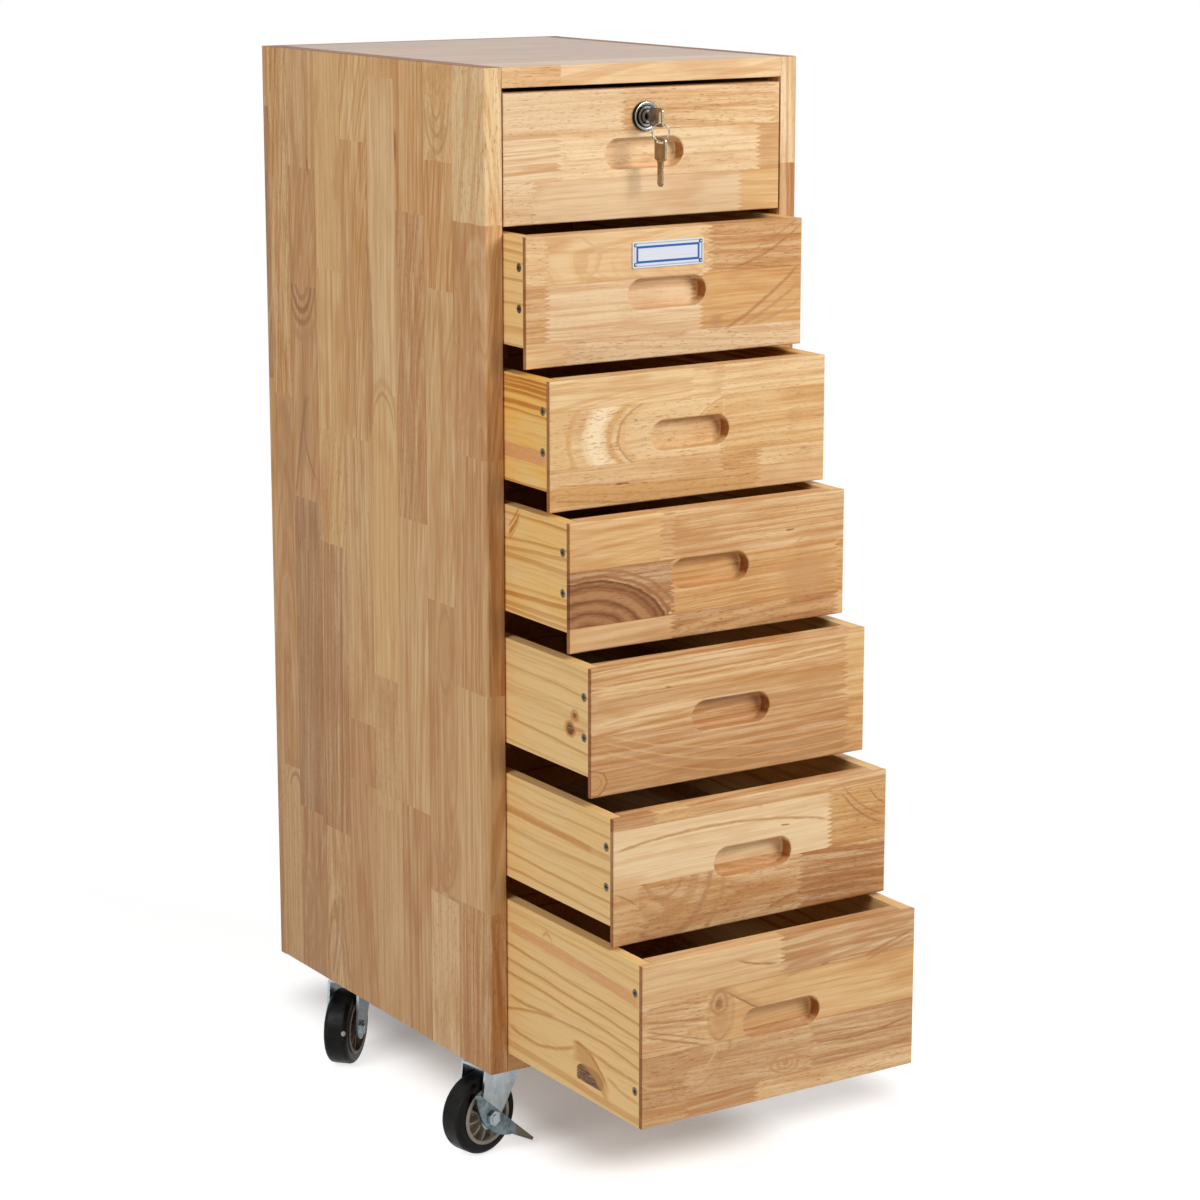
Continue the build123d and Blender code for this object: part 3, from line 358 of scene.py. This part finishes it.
class Shader:
    """A material or a world whose nodes are made by short calls. Values are numbers or node sockets."""

    def __init__(self, name, kind=bpy.data.materials):
        self.made = kind.new(name)
        self.made.use_nodes = True
        self.nodes = self.made.node_tree.nodes
        self.links = self.made.node_tree.links
        self.nodes.clear()

    def feed(self, socket, value):
        if isinstance(value, bpy.types.NodeSocket):
            self.links.new(value, socket)
        else:
            socket.default_value = value

    def node(self, kind, inputs=(), **settings):
        made = self.nodes.new(kind)
        for key, value in settings.items():
            setattr(made, key, value)
        for key, value in dict(inputs).items():
            self.feed(made.inputs[key], value)
        return made

    def math(self, operation, *values):
        made = self.node("ShaderNodeMath", operation=operation)
        for socket, value in zip(made.inputs, values):
            self.feed(socket, value)
        return made.outputs[0]

    def add(self, a, b):
        return self.math("ADD", a, b)

    def sub(self, a, b):
        return self.math("SUBTRACT", a, b)

    def mul(self, a, b):
        return self.math("MULTIPLY", a, b)

    def length(self, a, b):
        return self.math("SQRT", self.add(self.mul(a, a), self.mul(b, b)))

    def vector(self, x, y, z):
        return self.node("ShaderNodeCombineXYZ", {0: x, 1: y, 2: z}).outputs[0]

    def split(self, vector):
        return self.node("ShaderNodeSeparateXYZ", {0: vector}).outputs

    def place(self, unit=1.0):
        """X, Y and Z in the row frame, in the unit given in metres, which ride along with the body."""
        place = self.node("ShaderNodeTexCoord").outputs["Object"]
        if unit != 1.0:
            place = self.node("ShaderNodeVectorMath", {0: place, 1: (1 / unit,) * 3},
                              operation="MULTIPLY").outputs[0]
        return self.split(place)

    def normal(self):
        """The surface's direction as seen by its own body."""
        return self.split(self.node("ShaderNodeTexCoord").outputs["Normal"])

    def noise(self, vector, scale=1.0, detail=2.0, roughness=0.5, distortion=0.0):
        return self.node("ShaderNodeTexNoise", {
            "Vector": vector, "Scale": scale, "Detail": detail, "Roughness": roughness,
            "Distortion": distortion}).outputs[0]

    def noise_line(self, w, detail=2.0, roughness=0.5):
        return self.node("ShaderNodeTexNoise", {
            "W": w, "Scale": 1.0, "Detail": detail, "Roughness": roughness},
            noise_dimensions="1D").outputs[0]

    def step(self, value, low, high):
        """0 below low, 1 above high, smooth between, or the other way round if low is the higher."""
        return self.node("ShaderNodeMapRange", {"Value": value, "From Min": low, "From Max": high},
                         interpolation_type="SMOOTHSTEP").outputs[0]

    def mix(self, factor, a, b, blend="MIX"):
        made = self.node("ShaderNodeMix", data_type="RGBA", blend_type=blend)
        for index, value in ((0, factor), (6, a), (7, b)):
            self.feed(made.inputs[index], value)
        return made.outputs[2]

    def mix_value(self, factor, a, b):
        made = self.node("ShaderNodeMix", {0: factor, 2: a, 3: b}, data_type="FLOAT")
        return made.outputs[0]

    def steps(self, factor, stops):
        """A colour ramp that holds each stop's colour up to the next stop."""
        made = self.node("ShaderNodeValToRGB", {0: factor})
        elements = made.color_ramp.elements
        made.color_ramp.interpolation = "CONSTANT"
        elements.remove(elements[1])
        for index, (place, colour) in enumerate(stops):
            element = elements[0] if index == 0 else elements.new(place)
            element.position = place
            element.color = colour
        return made.outputs[0]

    def bump(self, height, distance, strength=1.0):
        return self.node("ShaderNodeBump", {
            "Height": height, "Distance": distance, "Strength": strength}).outputs[0]

    def finish(self, **inputs):
        """The Principled shader; a name's underscores stand for spaces."""
        shader = self.node("ShaderNodeBsdfPrincipled", {
            key.replace("_", " "): value for key, value in inputs.items()})
        output = self.node("ShaderNodeOutputMaterial")
        self.links.new(shader.outputs[0], output.inputs[0])
        return self.made


def dress(name, material):
    """Give a CAD node one material."""
    slots = nodes[name].data.materials
    slots.clear()
    slots.append(material)
    for polygon in nodes[name].data.polygons:
        polygon.material_index = 0


# Wood


def board_axes(shader, name, along, across):
    """Millimetres along and across the grain and through the board, from its lowest corner."""
    low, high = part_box(name)
    place = shader.place(MM)
    thickness = ({X, Y, Z} - {along, across}).pop()
    parts = [shader.sub(place[axis], low[axis] / MM) for axis in (along, across, thickness)]
    return parts, (high[along] - low[along]) / MM


def glued(shader, along, across, length, staves, seed):
    """At a point: its piece's colour and traits (figure, streaks, chance), its stave's middle, seams."""
    draws = random.Random(seed)
    share = shader.math("DIVIDE", along, length)
    colour = traits = middle = None
    seams = 0.0
    near = 0.0
    for far, pieces in staves:
        colours, values, start = [], [], 0.0
        for end, tone, figure, streaks in pieces:
            colours.append((start / length, linear(WOOD[tone])))
            values.append((start / length, (figure, streaks, draws.random(), 1.0)))
            start = end or 0
        edge = far or near + STAVE_WIDTH
        here = shader.steps(share, colours), shader.steps(share, values), (near + edge) / 2
        if colour is None:
            colour, traits, middle = here
        else:
            off = shader.sub(across, near)
            inside = shader.math("GREATER_THAN", off, 0.0)
            seams = shader.math("MAXIMUM", seams, shader.step(shader.math("ABSOLUTE", off), 0.9, 0.2))
            colour = shader.mix(inside, colour, here[0])
            traits = shader.mix(inside, traits, here[1])
            middle = shader.mix_value(inside, middle, here[2])
        near = edge
    return colour, shader.split(traits), middle, seams


def random_staves(width, length, seed):
    """A layout of staves for a board that the photo doesn't show."""
    draws = random.Random(seed)
    tones = [tone for tone in WOOD if tone not in ("soot", "walnut", "dark", "cream", "blond")]
    staves, far = [], 0.0
    while far < width:
        far += STAVE_WIDTH
        pieces, end = [], draws.uniform(0.2, 1.0) * STAVE_PIECE
        while end < length:
            pieces.append((end, draws.choice(tones), draws.random() ** 2, draws.uniform(0.2, 0.7)))
            end += draws.uniform(0.7, 1.3) * STAVE_PIECE
        pieces.append((None, draws.choice(tones), draws.random() ** 2, draws.uniform(0.2, 0.7)))
        staves.append((far if far < width else None, tuple(pieces)))
    return tuple(staves)


def draw_marks(s, colour, u, v, marks, colours, where=1.0):
    """Lay lines, arcs and knots over a wood's colour, a little uneven, as grown."""
    wobble = s.mul(s.sub(s.noise(s.vector(s.mul(u, 0.05), s.mul(v, 0.12), 0.0), detail=3), 0.5), 6.0)
    fade = s.step(s.noise(s.vector(s.mul(u, 0.09), s.mul(v, 0.6), 7.0), detail=3), 0.15, 0.5)
    for kind, *shape, bands in marks:
        if kind == "rings":
            (centre_u, centre_v), squeeze, (left, right, low, high) = shape
            away = s.length(s.sub(u, centre_u), s.math("DIVIDE", s.sub(v, centre_v), squeeze))
            field = s.add(away, wobble)
            inside = s.mul(s.mul(s.step(u, left - 1, left), s.step(u, right + 1, right)),
                           s.mul(s.step(v, low - 0.4, low), s.step(v, high + 0.4, high)))
        else:
            points, = shape
            a, b, c = through(points)
            line = s.add(s.mul(s.add(s.mul(u, c), b), u), a)
            field = s.add(s.sub(v, line), s.mul(wobble, 0.5))
            start, end = sorted((points[0][0], points[2][0]))
            edge = min(12.0, (end - start) * 0.3)
            inside = s.mul(s.step(u, start, start + edge), s.step(u, end, end - edge))
        inside = s.mul(s.mul(inside, fade), where)
        for middle, half, soft, tone, strength in bands:
            off = s.math("ABSOLUTE", s.sub(field, middle))
            amount = s.mul(s.mul(s.step(off, half + soft, half), inside), strength)
            colour = s.mix(amount, colour, linear(colours[tone]))
    return colour


def rubberwood(name, node, along, across, staves, seed, fingers=0.0, marks=(), polish=0.0):
    """Satin-varnished rubberwood in glued staves: growth lines, fibres and open pores."""
    s = Shader(name)
    (u, v, w), length = board_axes(s, node, along, across)
    wander = s.noise(s.vector(s.mul(u, 0.009), s.mul(v, 0.06), w), detail=1)
    joint = s.mul(s.sub(wander, 0.5), 2.0)
    if fingers:
        tooth = s.math("PINGPONG", v, FINGER_PITCH / 2)
        joint = s.add(joint, s.mul(s.sub(tooth, FINGER_PITCH / 4), 2 * fingers / FINGER_PITCH))
    base, (figure, streaks, chance), middle, seams = glued(s, s.add(u, joint), v, length, staves, seed)
    draw = s.split(s.node("ShaderNodeTexWhiteNoise", {"W": s.mul(chance, 97)},
                          noise_dimensions="1D").outputs["Color"])
    tilt = s.mul(u, s.mul(s.sub(draw[2], 0.5), 0.05))
    uu = s.add(u, s.mul(draw[0], 4000))
    vv = s.add(s.add(v, tilt), s.mul(draw[1], 3000))
    ww = s.add(w, s.mul(draw[2], 2000))

    # Growth rings about a pith that leans a little along the piece
    wave = s.sub(s.noise(s.vector(s.mul(uu, 0.005), s.mul(vv, 0.016), s.mul(ww, 0.016)), detail=3), 0.5)
    plain = s.sub(1.0, figure)
    aside = s.add(s.sub(s.add(v, tilt), middle), s.mul(s.sub(draw[0], 0.5), 20))
    aside = s.add(aside, s.mul(plain, s.add(70, s.mul(draw[1], 60))))
    lean = s.mul(s.sub(draw[1], 0.5), 0.34)
    depth = s.add(s.add(6, s.mul(draw[2], 30)), s.mul(s.add(u, s.mul(draw[0], -200)), lean))
    radius = s.length(aside, s.add(depth, w))
    radius = s.add(radius, s.mul(wave, s.add(8, s.mul(figure, 12))))
    rings = s.noise_line(s.add(s.mul(radius, 0.21), s.mul(chance, 50)), detail=3.5, roughness=0.65)
    late = s.mul(s.step(rings, 0.47, 0.64), s.add(0.15, streaks))
    early = s.mul(s.step(rings, 0.52, 0.36), s.add(0.15, streaks))

    bands = s.noise(s.vector(s.mul(uu, 0.006), s.mul(vv, 0.13), s.mul(ww, 0.13)), detail=4, roughness=0.65)
    fibres = s.noise(s.vector(s.mul(uu, 0.016), s.mul(vv, 0.42), s.mul(ww, 0.42)), detail=4, roughness=0.7)
    clouds = s.noise(s.vector(s.mul(uu, 0.012), s.mul(vv, 0.035), s.mul(ww, 0.035)), detail=2)
    dashes = s.noise(s.vector(s.mul(uu, 0.13), s.mul(vv, 1.1), s.mul(ww, 1.1)), detail=2, roughness=0.6)
    pores = s.step(dashes, 0.57, 0.68)

    colour = base
    shade = s.mix(1.0, colour, linear(LATE_WOOD), "MULTIPLY")
    glow = s.mix(0.45, colour, linear(EARLY_WOOD))
    colour = s.mix(s.mul(late, 0.75), colour, shade)
    colour = s.mix(s.mul(early, 0.5), colour, glow)
    busy = s.add(0.2, s.mul(streaks, 0.75))
    colour = s.mix(s.mul(s.step(bands, 0.5, 0.68), busy), colour, shade)
    colour = s.mix(s.mul(s.step(bands, 0.5, 0.34), s.mul(busy, 0.7)), colour, glow)
    colour = s.mix(s.mul(s.step(clouds, 0.48, 0.72), 0.5), colour, shade)
    colour = s.mix(s.mul(s.step(fibres, 0.48, 0.68), s.mul(busy, 0.8)), colour, shade)
    colour = s.mix(s.mul(s.step(fibres, 0.5, 0.32), 0.3), colour, glow)
    colour = draw_marks(s, colour, u, v, marks, WOOD)
    colour = s.mix(s.mul(s.mul(seams, s.step(bands, 0.35, 0.6)), 0.7), colour, shade)
    grainy = s.mul(s.step(draw[1], 0.2, 0.95), 0.6)
    pitted = s.mix(1.0, shade, linear(PORE), "MULTIPLY")
    colour = s.mix(s.mul(pores, grainy), colour, pitted)

    # End grain: darker and dotted, and painted darker still as shade, such as in the pulls' ends
    facing = s.math("ABSOLUTE", s.normal()[along])
    dots = s.noise(s.vector(s.mul(u, 0.3), s.mul(v, 1.6), s.mul(w, 1.6)), detail=2)
    dark, pale = (linear(tone) for tone in END_GRAIN_AND_SHADE)
    ends = s.mix(1.0, colour, s.mix(dots, dark, pale), "MULTIPLY")
    colour = s.mix(s.step(facing, 0.72, 0.92), colour, ends)

    height = s.sub(s.mul(fibres, 0.35), pores)
    return s.finish(
        Base_Color=colour, Roughness=s.add(0.4, s.mul(fibres, 0.14)), Specular_IOR_Level=0.22,
        Coat_Weight=polish, Coat_Roughness=0.28, Normal=s.bump(height, 0.1 * MM, 0.45))


def pine(name, orange, lines, marks, face, under):
    """Clear-varnished pine: soft yellow wood between thin dark ring lines, and knots on the left side."""
    s = Shader(name)
    x, y, z = s.place(MM)
    u, v = s.sub(y, face / MM), s.sub(z, under / MM)
    left = s.math("LESS_THAN", x, 0.0)
    wave = s.sub(s.noise(s.vector(s.mul(x, 0.007), s.mul(u, 0.011), s.mul(v, 0.012)), detail=3), 0.5)
    clouds = s.noise(s.vector(s.mul(x, 0.009), s.mul(u, 0.008), s.mul(v, 0.04)), detail=3)
    fine = s.noise(s.vector(s.mul(x, 0.2), s.mul(u, 0.012), s.mul(s.add(v, s.mul(wave, 5)), 0.5)),
                   detail=4, roughness=0.65)
    paint = {key: linear(colour) for key, colour in PINE_WOOD.items()}
    colour = s.mix(s.mul(s.step(clouds, 0.2, 0.55), orange), paint["pale"], paint["amber"])
    colour = s.mix(s.mul(s.step(fine, 0.45, 0.75), 0.4), colour, paint["deep"])
    line_paint = s.mix(orange, paint["deep"], paint["ember"])
    for near, half_way, far, half, strength in lines:
        a, b, c = through(((0, near), (PINE_REACH / 2, half_way), (PINE_REACH, far)))
        level = s.add(s.mul(s.add(s.mul(u, c), b), u), a)
        off = s.add(s.sub(v, level), s.mul(wave, 5.0))
        below, above = PINE_SOFT
        band = s.mul(s.step(off, -half - below, -half), s.step(off, half + above, half))
        soft = s.mul(s.mul(band, band), s.add(0.35 * strength, s.mul(clouds, 0.9 * strength)))
        colour = s.mix(soft, colour, line_paint)
    colour = draw_marks(s, colour, u, v, marks, PINE_WOOD, left)
    facing = s.math("ABSOLUTE", s.normal()[Y])
    ends = s.mix(1.0, colour, linear(PINE_END), "MULTIPLY")
    colour = s.mix(s.step(facing, 0.72, 0.92), colour, ends)
    return s.finish(
        Base_Color=colour, Roughness=s.add(0.42, s.mul(fine, 0.1)), Specular_IOR_Level=0.2,
        Normal=s.bump(fine, 0.08 * MM, 0.4))


def plywood():
    """The drawers' thin bottoms: pale rotary-cut face, plies in the edges."""
    s = Shader("plywood")
    x, y, z = s.place(MM)
    swirl = s.noise(s.vector(s.mul(x, 0.007), s.mul(y, 0.0022), 0.0), detail=3, distortion=0.6)
    rings = s.noise_line(s.mul(swirl, 26), detail=2)
    fine = s.noise(s.vector(s.mul(x, 0.42), s.mul(y, 0.012), s.mul(z, 0.42)), detail=2)
    plies = s.math("FRACT", s.mul(z, 1 / 1.3))
    colour = s.mix(s.step(rings, 0.4, 0.7), linear((214, 180, 132)), linear((190, 148, 100)))
    colour = s.mix(s.mul(s.step(fine, 0.45, 0.8), 0.35), colour, linear((168, 126, 82)))
    colour = s.mix(s.mul(s.step(plies, 0.4, 0.6), 0.18), colour, linear((150, 108, 70)))
    return s.finish(Base_Color=colour, Roughness=0.6, Normal=s.bump(fine, 0.1 * MM, 0.4))


# Metal, plastic and rubber


def metal(name, colour, roughness, mottle, size, tarnish=None, tip=None):
    """A metal with a soft mottle of its own size, in millimetres, in colour and gloss.

    A tip is (axis, where it starts and where it is full, in millimetres, colour)."""
    s = Shader(name)
    place = s.vector(*s.place(MM))
    cloud = s.noise(place, 1 / size, detail=3, roughness=0.6)
    fine = s.noise(place, 9 / size, detail=2)
    tone = s.mix(s.step(cloud, 0.3, 0.7), linear(scaled(colour, 1 - mottle)),
                 linear(scaled(colour, 1 + mottle)))
    if tarnish:
        tone = s.mix(s.mul(s.step(fine, 0.5, 0.75), 0.6), tone, linear(tarnish))
    if tip:
        axis, start, full, shade = tip
        tone = s.mix(s.step(s.place(MM)[axis], start, full), tone, linear(shade))
    height = s.add(s.mul(cloud, 0.6), s.mul(fine, 0.4))
    return s.finish(
        Base_Color=tone, Metallic=1.0, Roughness=s.add(roughness, s.mul(s.sub(cloud, 0.5), 0.25)),
        Normal=s.bump(height, 0.05 * MM, 0.3))


def lock_metal():
    """The lock's chrome: turned in steps, with painted shade in the grooves and in the middle."""
    s = Shader("lock_rings")
    low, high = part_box("lock_housing")
    x, y, z = s.place(MM)
    reach = s.length(s.sub(x, (low.x + high.x) / 2 / MM), s.sub(z, (low.z + high.z) / 2 / MM))
    radius = (high.x - low.x) / 2 / MM
    tone = linear((158, 156, 152))
    # Painted shade: each groove and the middle are painted near black
    for near, far in LOCK_GROOVE_SHADE:
        groove_shade = s.mul(s.step(reach, radius * near - 0.25, radius * near + 0.1),
                       s.step(reach, radius * far + 0.25, radius * far - 0.1))
        tone = s.mix(groove_shade, tone, linear((34, 31, 28)))
    return s.finish(Base_Color=tone, Metallic=1.0, Roughness=0.2)


def hub_plastic(name, low, high):
    """Moulded nylon, faintly mottled."""
    s = Shader(name)
    place = s.vector(*s.place(MM))
    cloud = s.noise(place, 0.06, detail=4)
    grain = s.noise(place, 1.8, detail=1)
    colour = s.mix(s.step(cloud, 0.3, 0.7), linear(low), linear(high))
    return s.finish(Base_Color=colour, Roughness=s.add(0.4, s.mul(grain, 0.15)),
                    Normal=s.bump(grain, 0.04 * MM, 0.5))


def rubber(name, node, worn, dot=None):
    """Black tyre rubber, glossy on its walls and dusty on its tread, with one pale fleck if given."""
    s = Shader(name)
    x, y, z = s.place(MM)
    place = s.vector(x, y, z)
    dust = s.noise(place, 0.09, detail=5, roughness=0.7)
    grain = s.noise(place, 1.5, detail=2)
    specks = s.step(s.noise(place, 0.7, detail=2), 0.62, 0.72)
    low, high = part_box(node)
    middle = [(low[axis] + high[axis]) / 2 / MM for axis in (X, Y, Z)]
    reach = s.length(s.length(s.sub(x, middle[X]), s.sub(y, middle[Y])), s.sub(z, middle[Z]))
    tread = s.step(reach, (high.z - low.z) / 2 / MM - 2.5, (high.z - low.z) / 2 / MM - 0.5)
    bloom = s.mul(s.mul(s.step(dust, 0.35, 0.75), worn), tread)
    colour = s.mix(bloom, linear((6, 6, 7)), linear((46, 45, 43)))
    colour = s.mix(s.mul(specks, 0.3), colour, linear((50, 49, 48)))
    if dot:
        near = s.length(s.length(s.sub(x, dot[X] / MM), s.sub(y, dot[Y] / MM)), s.sub(z, dot[Z] / MM))
        colour = s.mix(s.step(near, 2.8, 2.2), colour, linear((214, 208, 198)))
    return s.finish(Base_Color=colour, Roughness=s.add(0.3, s.mul(bloom, 0.6)), Specular_IOR_Level=0.12,
                    Normal=s.bump(grain, 0.05 * MM, 0.5))


def plate_metal():
    """Satin aluminium with a plain blue line printed round its edge, and painted shade round its pins."""
    s = Shader("plate_metal")
    low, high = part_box("front_plate")
    x, y, z = s.place(MM)
    across = s.math("ABSOLUTE", s.sub(x, (low.x + high.x) / 2 / MM))
    rise = s.math("ABSOLUTE", s.sub(z, (low.z + high.z) / 2 / MM))
    inset = s.math("MINIMUM", s.sub((high.x - low.x) / 2 / MM, across),
                   s.sub((high.z - low.z) / 2 / MM, rise))
    line = s.mul(s.step(inset, 3.9, 4.2), s.step(inset, 6.3, 6.0))
    brushed = s.noise(s.vector(s.mul(x, 0.03), y, s.mul(z, 2.5)), detail=2)
    colour = s.mix(brushed, linear((186, 190, 198)), linear((226, 229, 235)))
    rim = s.mul(s.step(inset, 1.2, 1.5), s.step(inset, 2.3, 1.8))
    colour = s.mix(s.mul(rim, 0.6), colour, linear((96, 100, 108)))
    colour = s.mix(line, colour, linear((24, 84, 166)))
    # Painted shade: a dark ring round each pin, where it meets the plate
    corner = s.length(s.sub(across, (high.x - low.x) / 2 / MM - PIN_INSET),
                      s.sub(rise, (high.z - low.z) / 2 / MM - PIN_INSET))
    colour = s.mix(s.step(corner, 2.0, 1.5), colour, linear((52, 50, 50)))
    colour = s.mix(s.step(corner, 1.1, 0.8), colour, linear((190, 188, 184)))
    return s.finish(Base_Color=colour, Metallic=s.sub(0.4, s.mul(line, 0.3)),
                    Roughness=s.add(0.28, s.mul(brushed, 0.12)),
                    Normal=s.bump(brushed, 0.02 * MM, 0.4))


# Each CAD node's finish


def panel(node, along, across, staves=None, seed=1, **finish):
    """Dress one panel in its own rubberwood."""
    if staves is None:
        low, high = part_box(node)
        staves = random_staves((high[across] - low[across]) / MM, (high[along] - low[along]) / MM, seed)
    dress(node, rubberwood("wood_" + node, node, along, across, staves, seed, **finish))


panel("side_panel_left", Z, Y, LEFT_SIDE, seed=3, marks=SIDE_MARKS)
panel("side_panel_right", Z, Y, seed=11)
panel("top_panel", X, Y, TOP, seed=5, polish=0.6)
panel("bottom_panel", X, Y, seed=7)
panel("back_panel", Z, X, seed=13)
panel("drawer_runners", Y, Z, ((None, ((None, "umber", 0.1, 0.4),)),), seed=17)

ply = plywood()
screw = metal("screw_steel", (112, 100, 80), 0.36, 0.2, 3, tarnish=(52, 44, 32))
chrome = metal("lock_chrome", (150, 148, 144), 0.14, 0.05, 9, tarnish=(120, 116, 110))
nickel = metal("key_nickel", (158, 142, 120), 0.3, 0.1, 6, tarnish=(110, 92, 70))
zinc = metal("zinc_plated_steel", (172, 184, 190), 0.28, 0.06, 12, tarnish=(148, 160, 167))

for number in FRONTS:
    drawer = f"drawer_{number}"
    panel(drawer + "_front", X, Z, FRONTS[number], seed=20 + number, fingers=FINGER_LENGTH,
          marks=MARKS.get(number, ()))
    low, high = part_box(drawer + "_front")
    orange, lines = PINE[number]
    dress(drawer + "_box", pine("pine_" + drawer, orange, lines, PINE_MARKS.get(number, ()), low.y, low.z))
    dress(drawer + "_bottom", ply)
    dress(drawer + "_screws", screw)

dress("carcass_screws", screw)
dress("carcass_dowels", nodes["drawer_1_box"].data.materials[0])
dress("caster_plates", zinc)
dress("caster_screws", zinc)
rings = lock_metal()
dress("lock_housing", rings)
dress("lock_plug", rings)
dress("lock_nut", zinc)
dress("lock_cam", zinc)
dress("key", nickel)
dress("spare_key", nickel)
dress("key_ring", chrome)
dress("front_plate", plate_metal())

# One plastic in two copies: the front hubs' is painted lighter, as lit, and the rear hubs' darker, as shade
# under the cabinet
hubs = {"front": hub_plastic("hub_plastic_front_lit", (184, 175, 160), (208, 199, 184)),
        "rear": hub_plastic("hub_plastic_rear_shaded", (122, 108, 90), (146, 131, 112))}
for end in ("front", "rear"):
    for side in ("left", "right"):
        dress(f"fork_{end}_{side}", zinc)
        dress(f"hub_{end}_{side}", hubs[end])
        tyre = f"tyre_{end}_{side}"
        fleck = FLECK if tyre == "tyre_rear_left" else None
        dress(tyre, rubber("rubber_" + tyre, tyre, 0.5 if end == "rear" else 0.8, fleck))
        if end == "front":
            lever = f"brake_lever_{end}_{side}"
            low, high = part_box(lever)
            end_x, inward = (high.x, -1) if side == "left" else (low.x, 1)
            start = end_x / MM + inward * LEVER_SHADED_TIP
            # Painted shade: the pedal's tip is painted darker, as the shade on its bent face
            tip = X, start, start - inward * LEVER_FADE, (96, 88, 76)
            dress(lever, metal("steel_" + lever, (112, 128, 134), 0.34, 0.18, 7, (72, 84, 88), tip))

# Floor, world, lights and camera

WHITE = (1.0, 1.0, 1.0, 1.0)
WORLD_LEVEL = 0.11
FLOOR_RADIUS = 12.0
FLOOR_CORNERS = 64
FLOOR_WHITE = (242, 242, 242)
# The floor keeps its full shadow in an oblong, given by its middle and its half sizes, in metres.
# Outside, it glows more and more, and further out it fades to plain white.
SHADE_MIDDLE = (0.1, 0.15)
SHADE_HALF = (0.14, 0.25)
FLOOR_GLOW = (0.2, 0.75)
GLOW_REACH = (0.0, 0.09)
FADE_REACH = (0.2, 0.7)
# Each softbox: its name, place, the point that it faces, its size in metres and its power in watts
LAMPS = (("key", (0.7, -1.75, 1.62), (0.0, -0.2, 0.85), 0.9, 32.0),
         ("fill", (-2.2, -0.5, 1.7), (0.0, 0.0, 0.7), 1.4, 29.0))
# The photo's camera: focal length on a 36 mm sensor, upward shift, place, tilt down and turn in degrees
SENSOR = 36.0
LENS = 97.47
LENS_SHIFT = -0.03
CAMERA_PLACE = (-1.6055, -2.5122, 1.1824)
CAMERA_TILT = 12.17
CAMERA_TURN = -32.83


def floor():
    """A pale round floor that keeps the shadow and fades to the white background."""
    mesh = bpy.data.meshes.new("floor")
    turns = [math.tau * step / FLOOR_CORNERS for step in range(FLOOR_CORNERS)]
    corners = [(FLOOR_RADIUS * math.cos(turn), FLOOR_RADIUS * math.sin(turn), 0.0) for turn in turns]
    mesh.from_pydata(corners, [], [range(FLOOR_CORNERS)])
    made = bpy.data.objects.new("floor", mesh)
    bpy.context.scene.collection.objects.link(made)
    s = Shader("floor")
    x, y = s.place()[:2]
    off_x, off_y = (s.math("MAXIMUM", 0.0, s.sub(s.math("ABSOLUTE", s.sub(part, middle)), half))
                    for part, middle, half in zip((x, y), SHADE_MIDDLE, SHADE_HALF))
    reach = s.length(off_x, off_y)
    fade = s.step(reach, *FADE_REACH)
    rays = s.node("ShaderNodeLightPath").outputs
    seen = s.math("MAXIMUM", rays["Is Camera Ray"], rays["Is Glossy Ray"])
    paint = s.node("ShaderNodeBsdfDiffuse", {"Color": linear(FLOOR_WHITE)}).outputs[0]
    glow = s.node("ShaderNodeEmission", {
        "Color": WHITE,
        "Strength": s.mul(seen, s.mix_value(s.step(reach, *GLOW_REACH), *FLOOR_GLOW))}).outputs[0]
    near = s.node("ShaderNodeAddShader", {0: paint, 1: glow}).outputs[0]
    far = s.node("ShaderNodeEmission", {"Color": WHITE, "Strength": 1.0}).outputs[0]
    blend = s.node("ShaderNodeMixShader", {0: s.mul(seen, fade), 1: near, 2: far}).outputs[0]
    output = s.node("ShaderNodeOutputMaterial")
    s.links.new(blend, output.inputs[0])
    mesh.materials.append(s.made)
    made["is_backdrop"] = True


def world():
    """A plain grey-white surround for light, and pure white where it is seen or mirrored."""
    s = Shader("studio", bpy.data.worlds)
    bpy.context.scene.world = s.made
    light, plain = (s.node("ShaderNodeBackground", {"Color": WHITE, "Strength": level}).outputs[0]
                    for level in (WORLD_LEVEL, 1.0))
    rays = s.node("ShaderNodeLightPath").outputs
    seen = s.math("MAXIMUM", rays["Is Camera Ray"], rays["Is Glossy Ray"])
    seen = s.math("MAXIMUM", seen, rays["Is Transmission Ray"])
    blend = s.node("ShaderNodeMixShader", {0: seen, 1: light, 2: plain}).outputs[0]
    output = s.node("ShaderNodeOutputWorld")
    s.links.new(blend, output.inputs[0])


def lamp(name, place, target, size, power):
    """A square softbox that faces a point."""
    data = bpy.data.lights.new(name, "AREA")
    data.size = size
    data.energy = power
    made = bpy.data.objects.new(name, data)
    made.location = place
    made.rotation_mode = "QUATERNION"
    made.rotation_quaternion = (Vector(target) - Vector(place)).to_track_quat("-Z", "Y")
    bpy.context.scene.collection.objects.link(made)


def camera():
    """The photo's view, from the front left and a little above the middle."""
    data = bpy.data.cameras.new("camera")
    data.sensor_width = SENSOR
    data.lens = LENS
    data.shift_y = LENS_SHIFT
    made = bpy.data.objects.new("camera", data)
    made.location = CAMERA_PLACE
    made.rotation_euler = (math.radians(90 - CAMERA_TILT), 0.0, math.radians(CAMERA_TURN))
    bpy.context.scene.collection.objects.link(made)
    bpy.context.scene.camera = made


floor()
world()
for settings in LAMPS:
    lamp(*settings)
camera()
bpy.context.scene.view_settings.view_transform = "Standard"

low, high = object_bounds()
